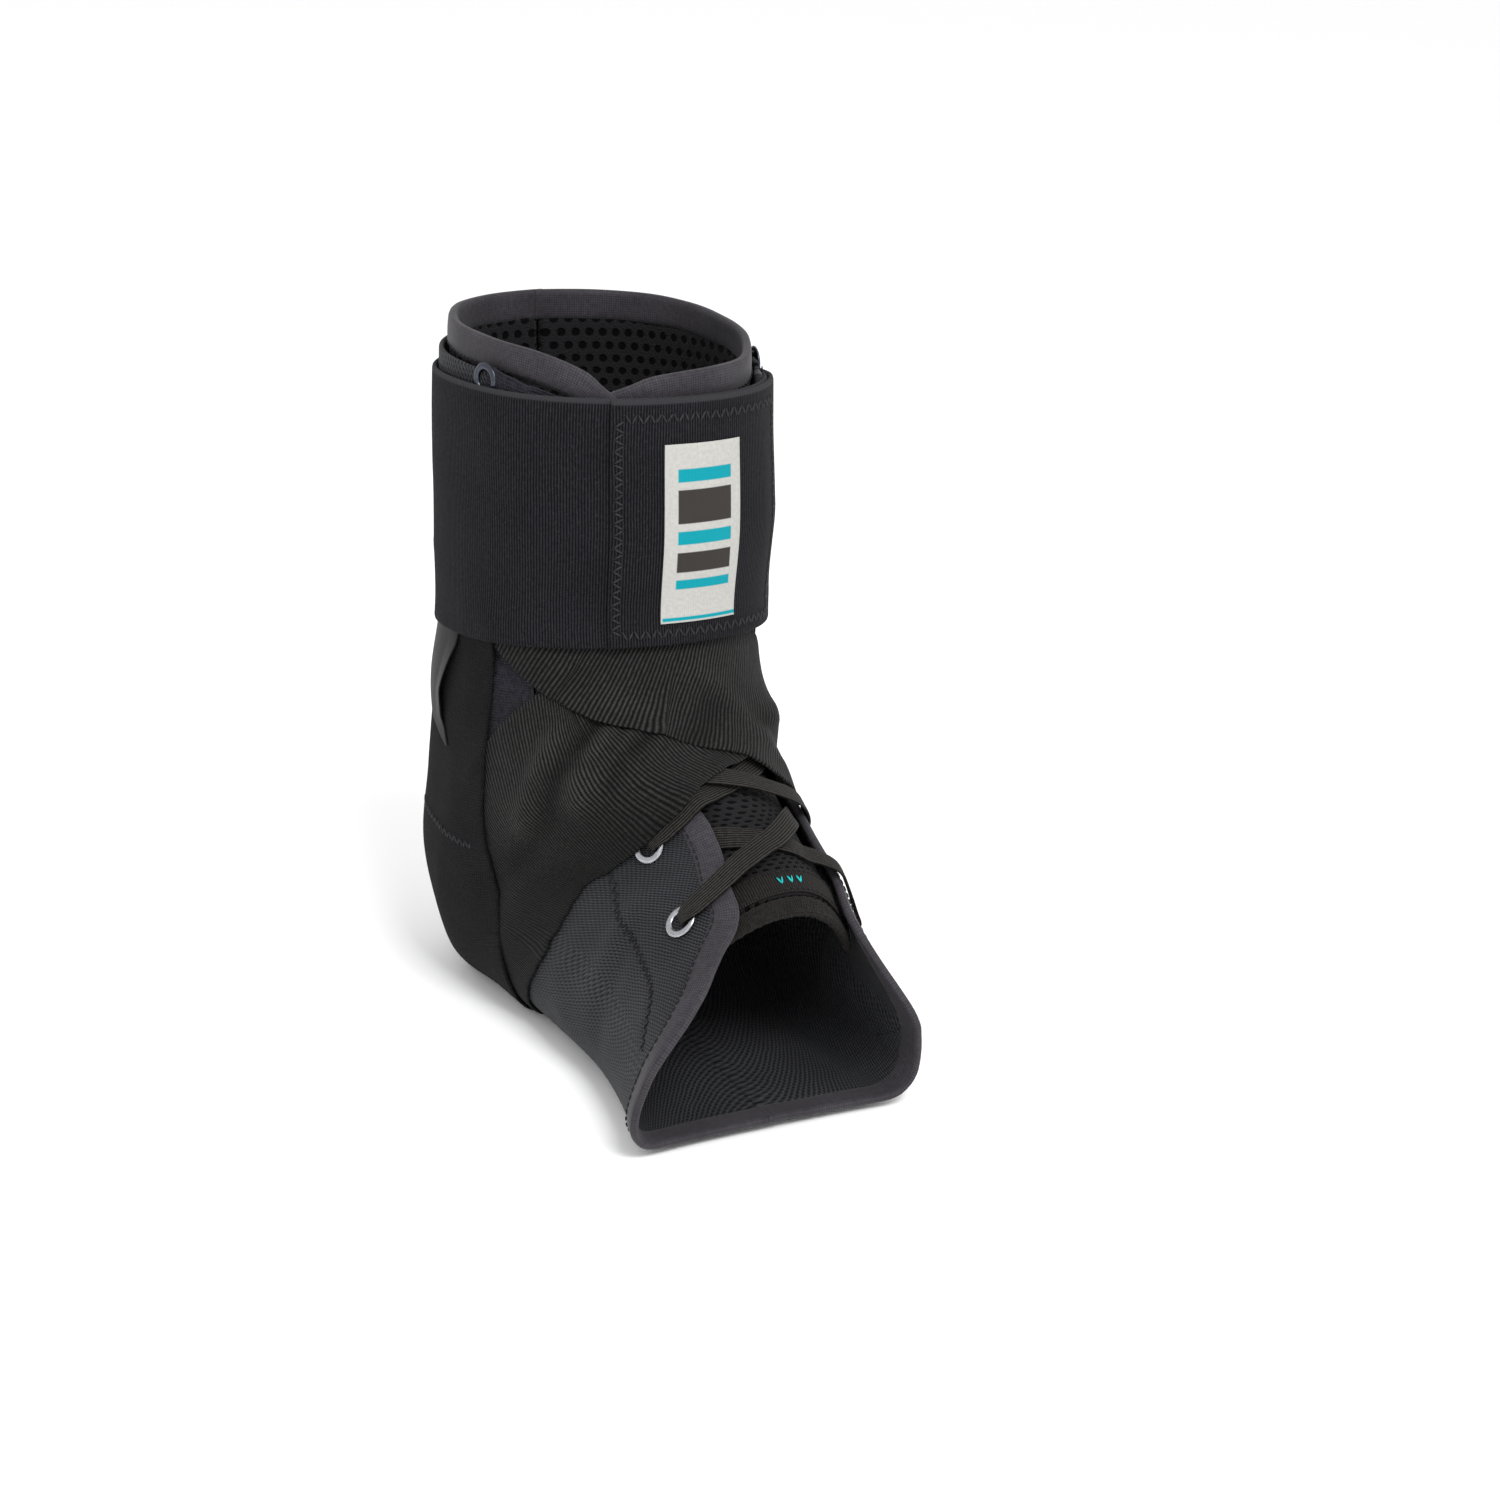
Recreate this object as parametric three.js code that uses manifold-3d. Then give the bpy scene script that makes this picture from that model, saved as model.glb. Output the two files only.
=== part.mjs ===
// Lace-up ankle brace for a right foot, worn shape, in millimetres.
//
// The brace is a lace-up shell of two quarters over a bound lining and tongue. Two figure-of-eight
// straps cross the instep, pass under the heel and come up on the other side, and an elastic cuff
// closes over their ends. +X points to the toes, +Y to the inner (medial) side and +Z up.
//
// Every piece is laid on one surface, the outside of the shell. A place on it is "along", the
// distance down the middle of the boot from its top, and "around", the angle about that middle:
// 0 at the shin, 90 on the outer side, 180 at the back of the heel and under the sole.
import * as THREE from 'three';
import { mergeVertices } from 'three/addons/utils/BufferGeometryUtils.js';
import Module from 'manifold-3d';

const wasm = await Module();
wasm.setup();

// Overall sizes of the shell's outside
const bootLength = 303; // along its middle, from the top of the leg to the ball of the foot
const legHeight = 215; // from the sole to the top of the leg section
const footLength = 200; // from the heel to the ball of the foot
const halfWidth = 45; // half the width at the ankle
const soleHeight = 2; // of the flat sole, above the lowest line of the sections

// Clearances
const clearance = 0.3; // between one layer and the next
const seamGap = 0.5; // between the edges of pieces in one layer

// Shell, lining and bindings
const quarterThickness = 1.5;
const quarterTop = 19; // along, at the sides
const cornerDrop = 6; // how much lower the quarter starts at its front corner
const bindingWidth = 8;
const bindingProud = 0.6; // above the quarter's outside
const bindingBack = 0.2; // behind the quarter's inside
const tongueThickness = 1.8;
const tongueRoom = 2.5; // between the tongue's outside and the quarter's inside
const collarLift = 1; // how far the lining comes out above the laced part
const collarStart = 28; // along, where the lining has come out
const collarEnd = 48; // along, where the lining lies at the tongue's depth
const liningEnd = 108; // along, where the lining of the back and sides ends
const rimWidth = 9;
const rimProud = 0.5;
const tongueEnd = 248;
const tongueEdgeWidth = 6;
const bandWidth = 8;
const bandThickness = 0.6;
const bandOuterEnd = 34; // around, in degrees
const bandInnerEnd = -56; // around, in degrees

// Eyelets and lace
const eyeletHole = 5.5; // diameter
const eyeletFlange = 8.5; // diameter
const eyeletBarrelWall = 0.5;
const eyeletFlangeThickness = 0.6;
const eyeletStandOff = 0.4; // most that a flat flange stands off the curved shell
const eyeletInset = 16; // from the quarter's bound edge to the eyelet's centre
const eyeletSegments = 8;
const laceWidth = 6;
const laceThickness = 0.8;
const laceWidthInHole = 3.6;
const laceSteps = 16; // from one eyelet to the next
const laceTail = 9;

// Straps, cuff, label and tag
const strapWidth = 50;
const strapThickness = 1;
const cuffTop = 26; // along
const cuffHeight = 76;
const cuffThickness = 1.5;
const labelWidth = 24;
const labelHeight = 52;
const labelThickness = 0.5;
const labelTop = 38; // along
const labelEdge = 6; // around, in degrees, of its outer-side edge
const tagLength = 34;
const tagWidth = 19;
const tagThickness = 0.8;

// Sections of the shell's outside. Lengths are shares: along of bootLength, back and front x of
// footLength, back and front height of legHeight, half and shift of halfWidth. egg narrows the
// shin side, and sole squares off the back or sole side as it falls.
const sectionColumns = ['along', 'backX', 'backZ', 'frontX', 'frontZ', 'half', 'shift', 'egg', 'sole'];
const sections = [
  [0.0, 0.04, 1.0, 0.51, 1.0, 0.978, -0.044, 0.04, 0.9],
  [0.116, 0.042, 0.837, 0.505, 0.837, 1.0, -0.033, 0.04, 0.9],
  [0.215, 0.045, 0.698, 0.495, 0.698, 1.0, 0.0, 0.04, 0.9],
  [0.314, 0.04, 0.558, 0.485, 0.577, 0.962, 0.0, 0.05, 0.9],
  [0.396, 0.018, 0.419, 0.52, 0.484, 0.978, -0.011, 0.06, 0.9],
  [0.469, -0.01, 0.27, 0.585, 0.433, 1.0, -0.011, 0.08, 0.9],
  [0.531, -0.015, 0.126, 0.635, 0.409, 1.011, -0.011, 0.1, 0.85],
  [0.594, 0.055, -0.006, 0.69, 0.381, 0.944, 0.067, 0.14, 0.75],
  [0.67, 0.23, -0.014, 0.735, 0.353, 0.878, 0.089, 0.16, 0.68],
  [0.752, 0.43, -0.014, 0.78, 0.326, 0.856, 0.067, 0.16, 0.65],
  [0.828, 0.605, -0.014, 0.835, 0.288, 0.833, 0.0, 0.15, 0.65],
  [0.911, 0.78, -0.014, 0.905, 0.247, 0.911, -0.089, 0.13, 0.65],
  [1.0, 0.95, -0.014, 1.0, 0.195, 1.089, -0.156, 0.1, 0.65],
].map((row) => Object.fromEntries(row.map((value, index) => [sectionColumns[index], value])));

// Lacing edges of the two quarters, from the top down to the front corner. along is a share of
// bootLength, and outer and inner are the angles of the edges.
const lacingEdges = [
  { along: 0.14, outer: 55, inner: -56 },
  { along: 0.25, outer: 51, inner: -54 },
  { along: 0.363, outer: 45, inner: -52 },
  { along: 0.47, outer: 32, inner: -48 },
  { along: 0.56, outer: 18, inner: -43 },
  { along: 0.67, outer: 20, inner: -41 },
  { along: 0.76, outer: 23, inner: -45 },
  { along: 0.815, outer: 22, inner: -47 },
];

// Front edges of the two quarters, from the lacing corner round the foot to the sole's middle
const footEdges = [
  { along: 0.845, outer: 26, inner: -51 },
  { along: 0.868, outer: 33, inner: -57 },
  { along: 0.888, outer: 38, inner: -63 },
  { along: 0.911, outer: 44, inner: -70 },
  { along: 0.931, outer: 55, inner: -79 },
  { along: 0.942, outer: 70, inner: -90 },
  { along: 0.946, outer: 85, inner: -102 },
  { along: 0.95, outer: 100, inner: -118 },
  { along: 0.952, outer: 140, inner: -148 },
];

// Upper edge of the bound lining. It is highest at the back and has a notch in front.
const rimEdge = [
  { along: 0.036, around: -179.6 },
  { along: 0.04, around: -120 },
  { along: 0.05, around: -80 },
  { along: 0.064, around: -46 },
  { along: 0.067, around: -12 },
  { along: 0.072, around: 8 },
  { along: 0.082, around: 24 },
  { along: 0.07, around: 32 },
  { along: 0.062, around: 41 },
  { along: 0.055, around: 54 },
  { along: 0.051, around: 69 },
  { along: 0.046, around: 102 },
  { along: 0.04, around: 130 },
  { along: 0.036, around: 179.6 },
];

// Side edges of the tongue below the lining
const tongueSides = [
  { along: 0.39, outer: 66, inner: -72 },
  { along: 0.5, outer: 54, inner: -66 },
  { along: 0.6, outer: 44, inner: -62 },
  { along: 0.76, outer: 48, inner: -66 },
];

// Middle lines of the straps. around runs on past 180 where a strap goes under the heel, and
// spread is its width there as a share of strapWidth.
const innerStrapPath = [
  { along: 0.215, around: -112, spread: 1 },
  { along: 0.3, around: -66, spread: 1 },
  { along: 0.362, around: -31, spread: 1 },
  { along: 0.417, around: 0, spread: 1 },
  { along: 0.472, around: 31, spread: 1.02 },
  { along: 0.531, around: 64, spread: 1.06 },
  { along: 0.581, around: 86, spread: 1.04 },
  { along: 0.62, around: 104, spread: 1 },
  { along: 0.657, around: 130, spread: 1 },
  { along: 0.68, around: 158, spread: 1 },
  { along: 0.686, around: 183, spread: 1 },
  { along: 0.675, around: 210, spread: 1 },
  { along: 0.64, around: 236, spread: 1 },
  { along: 0.59, around: 251, spread: 1 },
  { along: 0.53, around: 259, spread: 1 },
  { along: 0.465, around: 262, spread: 1 },
  { along: 0.363, around: 263, spread: 1 },
  { along: 0.25, around: 263, spread: 1 },
];
const outerStrapPath = [
  { along: 0.16, around: 112, spread: 1 },
  { along: 0.246, around: 64, spread: 1 },
  { along: 0.304, around: 31, spread: 1 },
  { along: 0.358, around: 0, spread: 1 },
  { along: 0.413, around: -31, spread: 1 },
  { along: 0.478, around: -62, spread: 1 },
  { along: 0.55, around: -85, spread: 1 },
  { along: 0.61, around: -104, spread: 1 },
  { along: 0.648, around: -130, spread: 1 },
  { along: 0.666, around: -158, spread: 1 },
  { along: 0.67, around: -183, spread: 1 },
  { along: 0.66, around: -212, spread: 1 },
  { along: 0.63, around: -238, spread: 1 },
  { along: 0.585, around: -252, spread: 1 },
  { along: 0.53, around: -260, spread: 1 },
  { along: 0.465, around: -262, spread: 1 },
  { along: 0.363, around: -263, spread: 1 },
  { along: 0.26, around: -263, spread: 1 },
];

// Pairs of eyelets, from the foot up, as shares of bootLength. The laces run through all but the
// last pair.
const eyeletPairs = [0.79, 0.575, 0.44, 0.31, 0.084];
const lacedPairs = 4;
const laceBow = 0.15; // of the way along between two pairs, by which the lace bows up the instep

// Angles at which the elastic cuff starts, under its own outer end, and at which it ends
const cuffStart = -430;
const cuffEnd = 24;

// Levels above the shell's outside
const quarterInside = -quarterThickness;
const tongueOutside = quarterInside - tongueRoom;
const flangeTop = clearance + eyeletStandOff + eyeletFlangeThickness;
const laceOver = flangeTop + clearance + laceThickness / 2;
const laceUnder = quarterInside - (bindingBack + tongueRoom) / 2;

// The grid that all pieces share, so that their facets lie one above the other
const columnCount = 24;
const columnStep = 360 / columnCount;
const ringZones = [
  { until: 0.3, rings: 5 },
  { until: 0.4, rings: 2 },
  { until: 0.73, rings: 9 },
  { until: 1, rings: 5 },
];
const flatPerDegree = 0.75; // width that one degree takes in the flat pattern

const radians = THREE.MathUtils.degToRad;
const mix = THREE.MathUtils.lerp;
const smooth = THREE.MathUtils.smoothstep;

// One named length of the sections at a distance along, by a spline through its shares
function sectionValue(along, name) {
  const last = sections.length - 1;
  const share = THREE.MathUtils.clamp(along / bootLength, 0, 1);
  let row = 0;
  while (row < last - 1 && sections[row + 1].along <= share) row += 1;
  const t = (share - sections[row].along) / (sections[row + 1].along - sections[row].along);
  const near = [-1, 0, 1, 2].map((step) => THREE.MathUtils.clamp(row + step, 0, last));
  const [a, b, c, d] = near.map((index) => sections[index][name]);
  return 0.5 * (2 * b + (c - a) * t + (2 * a - 5 * b + 4 * c - d) * t * t + (3 * b - a - 3 * c + d) * t ** 3);
}

// Point of the shell's outside
function skin(along, around) {
  const x0 = sectionValue(along, 'backX') * footLength;
  const x1 = sectionValue(along, 'frontX') * footLength;
  const z0 = sectionValue(along, 'backZ') * legHeight;
  const z1 = sectionValue(along, 'frontZ') * legHeight;
  const half = sectionValue(along, 'half') * halfWidth;
  const shift = sectionValue(along, 'shift') * halfWidth;
  const cosine = Math.cos(radians(around));
  const sine = Math.sin(radians(around));
  const power = cosine < 0 ? sectionValue(along, 'sole') : 0.9;
  const forward = Math.sign(cosine) * Math.abs(cosine) ** power;
  const side = Math.sign(sine) * Math.abs(sine) ** power * (1 - sectionValue(along, 'egg') * forward);
  const z = (z0 + z1) / 2 + ((z1 - z0) / 2) * forward;
  const near = Math.max(soleHeight - Math.abs(z - soleHeight), 0);
  return new THREE.Vector3(
    (x0 + x1) / 2 + ((x1 - x0) / 2) * forward,
    shift - half * side,
    Math.max(z, soleHeight) + near ** 2 / (4 * soleHeight),
  );
}

// Directions on the shell at a place: down the boot, around it, and out of it
function directions(along, around) {
  const down = skin(along + 0.5, around).sub(skin(along - 0.5, around));
  const across = skin(along, around + 0.5).sub(skin(along, around - 0.5));
  const out = across.clone().cross(down).normalize();
  return { down, across, out };
}

// Rings of the shared grid, closer together where the boot bends
const ringAlong = [0];
let zoneStart = 0;
for (const { until, rings } of ringZones) {
  for (let ring = 1; ring <= rings; ring += 1) {
    ringAlong.push(mix(zoneStart, until, ring / rings) * bootLength);
  }
  zoneStart = until;
}
const ringCount = ringAlong.length - 1;

// Ring number of a distance along, with its fraction
function ringPosition(along) {
  const ring = THREE.MathUtils.clamp(ringAlong.findLastIndex((place) => place <= along), 0, ringCount - 1);
  return ring + (along - ringAlong[ring]) / (ringAlong[ring + 1] - ringAlong[ring]);
}

// Corners of the shared grid
const grid = [];
for (const along of ringAlong) {
  for (let column = 0; column < columnCount; column += 1) {
    const around = column * columnStep;
    const inside = THREE.MathUtils.clamp(along, 0.6, bootLength - 0.6);
    grid.push({ point: skin(along, around), out: directions(inside, around).out, top: 0 });
  }
}
const wrap = (value, count) => ((value % count) + count) % count;
const cornerIndex = (ring, column) => ring * columnCount + wrap(column, columnCount);

// Point at a height above the faceted shell. It is linear over each facet of the grid, so layers at
// different heights never cut each other.
function place(along, around, height) {
  const ring = THREE.MathUtils.clamp(Math.floor(ringPosition(along)), 0, ringCount - 1);
  const column = Math.floor(around / columnStep);
  const a = ringPosition(along) - ring;
  const b = around / columnStep - column;
  const weights = a >= b
    ? [[0, 0, 1 - a], [1, 0, a - b], [1, 1, b]]
    : [[0, 0, 1 - b], [0, 1, b - a], [1, 1, a]];
  const point = new THREE.Vector3();
  for (const [ringOffset, columnOffset, weight] of weights) {
    const corner = grid[cornerIndex(ring + ringOffset, column + columnOffset)];
    point.addScaledVector(corner.point, weight);
    point.addScaledVector(corner.out, weight * height);
  }
  return point;
}

// Walk over the shell from a place, at right angles to a heading, by a distance to its left
function walkAcross(along, around, alongHeading, aroundHeading, distance) {
  const steps = Math.max(1, Math.ceil(Math.abs(distance) / 5));
  const start = directions(along, around);
  const heading = start.down.clone().multiplyScalar(alongHeading);
  heading.addScaledVector(start.across, aroundHeading);
  const way = heading.cross(start.out).normalize().multiplyScalar(Math.sign(distance));
  const at = { along, around };
  for (let step = 0; step < steps; step += 1) {
    const { down, across, out } = directions(at.along, at.around);
    way.addScaledVector(out, -way.dot(out)).normalize();
    const [dd, aa, da] = [down.dot(down), across.dot(across), down.dot(across)];
    const [dw, aw] = [down.dot(way), across.dot(way)];
    const scale = Math.abs(distance) / steps / (dd * aa - da * da);
    at.along += (dw * aa - aw * da) * scale;
    at.around += (aw * dd - dw * da) * scale;
  }
  return at;
}

// A smooth line of places through the rows of a table
function smoothLine(rows, count) {
  const curve = new THREE.CatmullRomCurve3(rows.map(({ along, around, spread }) => (
    new THREE.Vector3(along, around * flatPerDegree, (spread ?? 1) * 10))), false, 'centripetal');
  return curve.getPoints(count).map(({ x, y, z }) => (
    { along: x, around: y / flatPerDegree, spread: z / 10 }));
}

// The same line moved over the shell by a distance to its left
function offsetLine(line, distance) {
  return line.map((here, index) => {
    const before = line[Math.max(index - 1, 0)];
    const after = line[Math.min(index + 1, line.length - 1)];
    const [alongStep, aroundStep] = [after.along - before.along, after.around - before.around];
    return walkAcross(here.along, here.around, alongStep, aroundStep, distance * (here.spread ?? 1));
  });
}

const flatPoint = ({ along, around }) => new THREE.Vector2(along, around * flatPerDegree);

// Closed solid of the manifold library from corners and triangles
function toManifold(corners, triangles) {
  return new wasm.Manifold(new wasm.Mesh({
    numProp: 3,
    vertProperties: new Float32Array(corners),
    triVerts: new Uint32Array(triangles),
    faceID: new Uint32Array(triangles.length / 3).map((_, index) => index),
  }));
}

function manifoldOf(geometry) {
  const bare = geometry.clone();
  bare.deleteAttribute('normal');
  bare.deleteAttribute('uv');
  const merged = mergeVertices(bare, 1e-4);
  return new wasm.Manifold(new wasm.Mesh({
    numProp: 3,
    vertProperties: merged.attributes.position.array,
    triVerts: new Uint32Array(merged.index.array),
  }));
}

// Grid facets between two heights, as a flat pattern: along, around and height are its axes
function flatSlab(rings, columns, inner, outer) {
  const [firstRing, lastRing] = rings;
  const [firstColumn, lastColumn] = columns;
  const width = lastColumn - firstColumn + 1;
  const layer = (lastRing - firstRing + 1) * width;
  const corners = [];
  for (const height of [inner, outer]) {
    for (let ring = firstRing; ring <= lastRing; ring += 1) {
      for (let column = firstColumn; column <= lastColumn; column += 1) {
        corners.push(ringAlong[ring], column * columnStep * flatPerDegree, height(ring, column));
      }
    }
  }
  const at = (ring, column, side) => side * layer + (ring - firstRing) * width + column - firstColumn;
  const triangles = [];
  for (let ring = firstRing; ring < lastRing; ring += 1) {
    for (let column = firstColumn; column < lastColumn; column += 1) {
      for (const side of [0, 1]) {
        const [a, b, c, d] = [[0, 0], [1, 0], [1, 1], [0, 1]].map(([i, j]) => at(ring + i, column + j, side));
        triangles.push(...(side ? [a, b, c, a, c, d] : [a, c, b, a, d, c]));
      }
    }
  }
  const wall = (a, b) => triangles.push(a[0], b[0], b[1], a[0], b[1], a[1]);
  const pair = (ring, column) => [at(ring, column, 0), at(ring, column, 1)];
  for (let ring = firstRing; ring < lastRing; ring += 1) {
    wall(pair(ring, firstColumn), pair(ring + 1, firstColumn));
    wall(pair(ring + 1, lastColumn), pair(ring, lastColumn));
  }
  for (let column = firstColumn; column < lastColumn; column += 1) {
    wall(pair(lastRing, column), pair(lastRing, column + 1));
    wall(pair(firstRing, column + 1), pair(firstRing, column));
  }
  return toManifold(corners, triangles);
}

// Grid range that an outline needs
function gridRange(outline) {
  const alongs = outline.map(({ along }) => ringPosition(along));
  const arounds = outline.map(({ around }) => around / columnStep);
  const firstRing = Math.max(Math.floor(Math.min(...alongs)), 0);
  const lastRing = Math.min(Math.ceil(Math.max(...alongs)), ringCount);
  return {
    rings: [firstRing, lastRing],
    columns: [Math.floor(Math.min(...arounds)) - 1, Math.ceil(Math.max(...arounds)) + 1],
  };
}

function insideOutline(along, around, outline) {
  let inside = false;
  for (let i = 0, j = outline.length - 1; i < outline.length; j = i, i += 1) {
    const [a, b] = [outline[i], outline[j]];
    const crosses = a.around > around !== b.around > around;
    if (crosses && along < ((b.along - a.along) * (around - a.around)) / (b.around - a.around) + a.along) {
      inside = !inside;
    }
  }
  return inside;
}

// Grid corners of every facet pair that an outline touches, as keys of ring and column
function touchedCorners(outline, { rings, columns }) {
  const touched = new Set();
  const samples = [0.02, 0.2, 0.4, 0.6, 0.8, 0.98];
  for (let ring = rings[0]; ring < rings[1]; ring += 1) {
    for (let column = columns[0]; column < columns[1]; column += 1) {
      const hit = samples.some((a) => samples.some((b) => (
        insideOutline(mix(ringAlong[ring], ringAlong[ring + 1], a), (column + b) * columnStep, outline))));
      if (hit) {
        for (const [i, j] of [[0, 0], [1, 0], [1, 1], [0, 1]]) touched.add(`${ring + i} ${column + j}`);
      }
    }
  }
  return touched;
}

// Cut the flat pattern to its outline and bend it round the shell
function bentSolid(slab, outline) {
  const shape = new THREE.Shape(outline.map(flatPoint));
  const cutter = new THREE.ExtrudeGeometry(shape, { depth: 80, bevelEnabled: false }).translate(0, 0, -40);
  const cut = slab.intersect(manifoldOf(cutter)).getMesh();
  const corners = [];
  for (let i = 0; i < cut.vertProperties.length; i += cut.numProp) {
    const [along, flat, height] = cut.vertProperties.slice(i, i + 3);
    corners.push(...place(along, flat / flatPerDegree, height).toArray());
  }
  const triangles = [];
  for (let i = 0; i < cut.triVerts.length; i += 3) {
    triangles.push(cut.triVerts[i], cut.triVerts[i + 2], cut.triVerts[i + 1]);
  }
  return toManifold(corners, triangles);
}

// Piece between two heights given as functions of along
function panel(outline, inner, outer) {
  const range = gridRange(outline);
  const height = (level) => (ring) => level(ringAlong[ring]);
  return bentSolid(flatSlab(range.rings, range.columns, height(inner), height(outer)), outline);
}

// Piece laid on whatever lies below it, which then becomes part of what lies below the next one.
// Where it comes round over itself, turnsOut says whether its later turn is at the larger angle.
function laidPiece(outline, thickness, turnsOut, bridge = null) {
  const range = gridRange(outline);
  const touched = touchedCorners(outline, range);
  const below = (ring, column) => grid[cornerIndex(ring, column)].top;
  const base = new Map();
  const baseAt = (ring, column) => {
    const key = `${ring} ${column}`;
    if (base.has(key)) return base.get(key);
    let level = (bridge ? bridge(ring, column, below) : below(ring, column)) + clearance;
    const earlier = column + (turnsOut ? -columnCount : columnCount);
    if (touched.has(`${ring} ${earlier}`)) {
      level = Math.max(level, baseAt(ring, earlier) + thickness + clearance);
    }
    base.set(key, level);
    return level;
  };
  const outer = (ring, column) => baseAt(ring, column) + thickness;
  const solid = bentSolid(flatSlab(range.rings, range.columns, baseAt, outer), outline);
  for (const key of touched) {
    const [ring, column] = key.split(' ').map(Number);
    const corner = grid[cornerIndex(ring, column)];
    corner.next = Math.max(corner.next ?? corner.top, outer(ring, column));
  }
  for (const corner of grid) corner.top = corner.next ?? corner.top;
  return solid;
}

// Raise what lies below the next pieces over an outline
function raiseTop(outline, level) {
  for (const key of touchedCorners(outline, gridRange(outline))) {
    const [ring, column] = key.split(' ').map(Number);
    const corner = grid[cornerIndex(ring, column)];
    corner.top = Math.max(corner.top, level);
  }
}

// Meshes of the group
const fabrics = {
  nylon: { color: '#2e2e33', roughness: 0.85, metalness: 0 },
  binding: { color: '#2f2e31', roughness: 0.7, metalness: 0 },
  spacer: { color: '#201f1f', roughness: 0.95, metalness: 0 },
  webbing: { color: '#24211f', roughness: 0.8, metalness: 0 },
  elastic: { color: '#222226', roughness: 0.9, metalness: 0 },
  lace: { color: '#2b2824', roughness: 0.8, metalness: 0 },
  label: { color: '#c9c8c4', roughness: 0.5, metalness: 0 },
  tag: { color: '#262629', roughness: 0.75, metalness: 0 },
  nickel: { color: '#8f9094', roughness: 0.35, metalness: 1 },
};
const group = new THREE.Group();

function addMesh(name, solid, finish) {
  const { vertProperties, triVerts, numProp } = solid.getMesh();
  const corners = [];
  for (let i = 0; i < vertProperties.length; i += numProp) corners.push(...vertProperties.slice(i, i + 3));
  const geometry = new THREE.BufferGeometry();
  geometry.setAttribute('position', new THREE.Float32BufferAttribute(corners, 3));
  geometry.setIndex(Array.from(triVerts));
  geometry.computeVertexNormals();
  const mesh = new THREE.Mesh(geometry, new THREE.MeshStandardMaterial(fabrics[finish]));
  mesh.name = name;
  group.add(mesh);
}

// Both sides of the shell. The sign of sense is +1 for the outer side and -1 for the inner one.
const sides = [
  { name: 'outer', sense: 1 },
  { name: 'inner', sense: -1 },
];

function rowsOf(table, side) {
  return table.map((row) => ({ along: row.along * bootLength, around: row[side.name] }));
}

// Bound edge of a quarter, from its top to the middle of the sole
function boundEdge(side) {
  const lacing = rowsOf(lacingEdges, side);
  const foot = rowsOf(footEdges, side);
  const top = { along: quarterTop + cornerDrop, around: lacing[0].around + side.sense };
  const sole = { along: foot.at(-1).along, around: side.sense * 179.7 };
  return smoothLine([top, ...lacing, ...foot, sole], 24);
}

const tableAngle = (line, along) => {
  const next = Math.max(1, line.findIndex((row) => row.along >= along));
  const [a, b] = [line[next - 1], line[next]];
  return mix(a.around, b.around, (along - a.along) / (b.along - a.along));
};

// Place of an eyelet, set in square from the bound edge
function eyeletPlace(side, share) {
  const along = share * bootLength;
  const rows = rowsOf(lacingEdges, side);
  const edge = [{ along: quarterTop, around: rows[0].around }, ...rows];
  const reach = bindingWidth / 2;
  const turn = tableAngle(edge, along + reach) - tableAngle(edge, along - reach);
  return walkAcross(along, tableAngle(edge, along), 2 * reach, turn, side.sense * eyeletInset);
}

// Places round an eyelet's flange
function eyeletOutline({ along, around }) {
  const reach = eyeletFlange / 2;
  const { down, across } = directions(along, around);
  return Array.from({ length: 8 }, (_, index) => {
    const angle = (index * Math.PI) / 4;
    return {
      along: along + (reach * Math.cos(angle)) / down.length(),
      around: around + (reach * Math.sin(angle)) / across.length(),
    };
  });
}

// Frame of an eyelet, lifted until its flat flange clears the shell all round
function eyeletFrame(at) {
  const centre = place(at.along, at.around, 0);
  const ring = eyeletOutline(at).map(({ along, around }) => place(along, around, 0).sub(centre));
  const out = ring[2].clone().sub(ring[6]).cross(ring[0].clone().sub(ring[4])).normalize();
  const lift = Math.max(0, ...ring.map((point) => point.dot(out)));
  const turn = new THREE.Quaternion().setFromUnitVectors(new THREE.Vector3(0, 1, 0), out);
  return new THREE.Matrix4().compose(centre.addScaledVector(out, lift), turn, new THREE.Vector3(1, 1, 1));
}

function eyeletSolid() {
  const hole = eyeletHole / 2;
  const barrel = hole + eyeletBarrelWall;
  const flange = eyeletFlange / 2;
  const foot = quarterInside - bindingBack;
  const profile = [
    [hole, foot],
    [barrel, foot],
    [barrel, clearance],
    [flange, clearance],
    [flange, clearance + eyeletFlangeThickness],
    [hole, clearance + eyeletFlangeThickness],
    [hole, foot],
  ].map(([x, y]) => new THREE.Vector2(x, y));
  return new THREE.LatheGeometry(profile, eyeletSegments);
}

function eyeletCutter() {
  const radius = eyeletHole / 2 + eyeletBarrelWall + clearance;
  return new THREE.CylinderGeometry(radius, radius, quarterThickness * 6, eyeletSegments);
}

// Lining with the tongue: a collar round the leg that narrows to the tongue
const tongueLevel = (along) => (
  tongueOutside + collarLift * (1 - smooth(along, collarStart, collarEnd)));
const rimLine = smoothLine(rimEdge.map(({ along, around }) => ({ along: along * bootLength, around })), 22);
const rimInner = offsetLine(rimLine, -rimWidth);
const liningTop = offsetLine(rimLine, -rimWidth - seamGap);
const tongueTip = tongueEnd - tongueEdgeWidth;
const tongueOuterSide = smoothLine(rowsOf(tongueSides, sides[0]), 8);
const tongueInnerSide = smoothLine(rowsOf(tongueSides, sides[1]), 8);
const outerTip = { along: tongueTip + 5, around: tongueOuterSide.at(-1).around };
const innerTip = { along: tongueTip + 5, around: tongueInnerSide.at(-1).around };
const tipMiddle = { along: tongueTip, around: -8 };
const tipLine = smoothLine([outerTip, tipMiddle, innerTip], 10);
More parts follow.
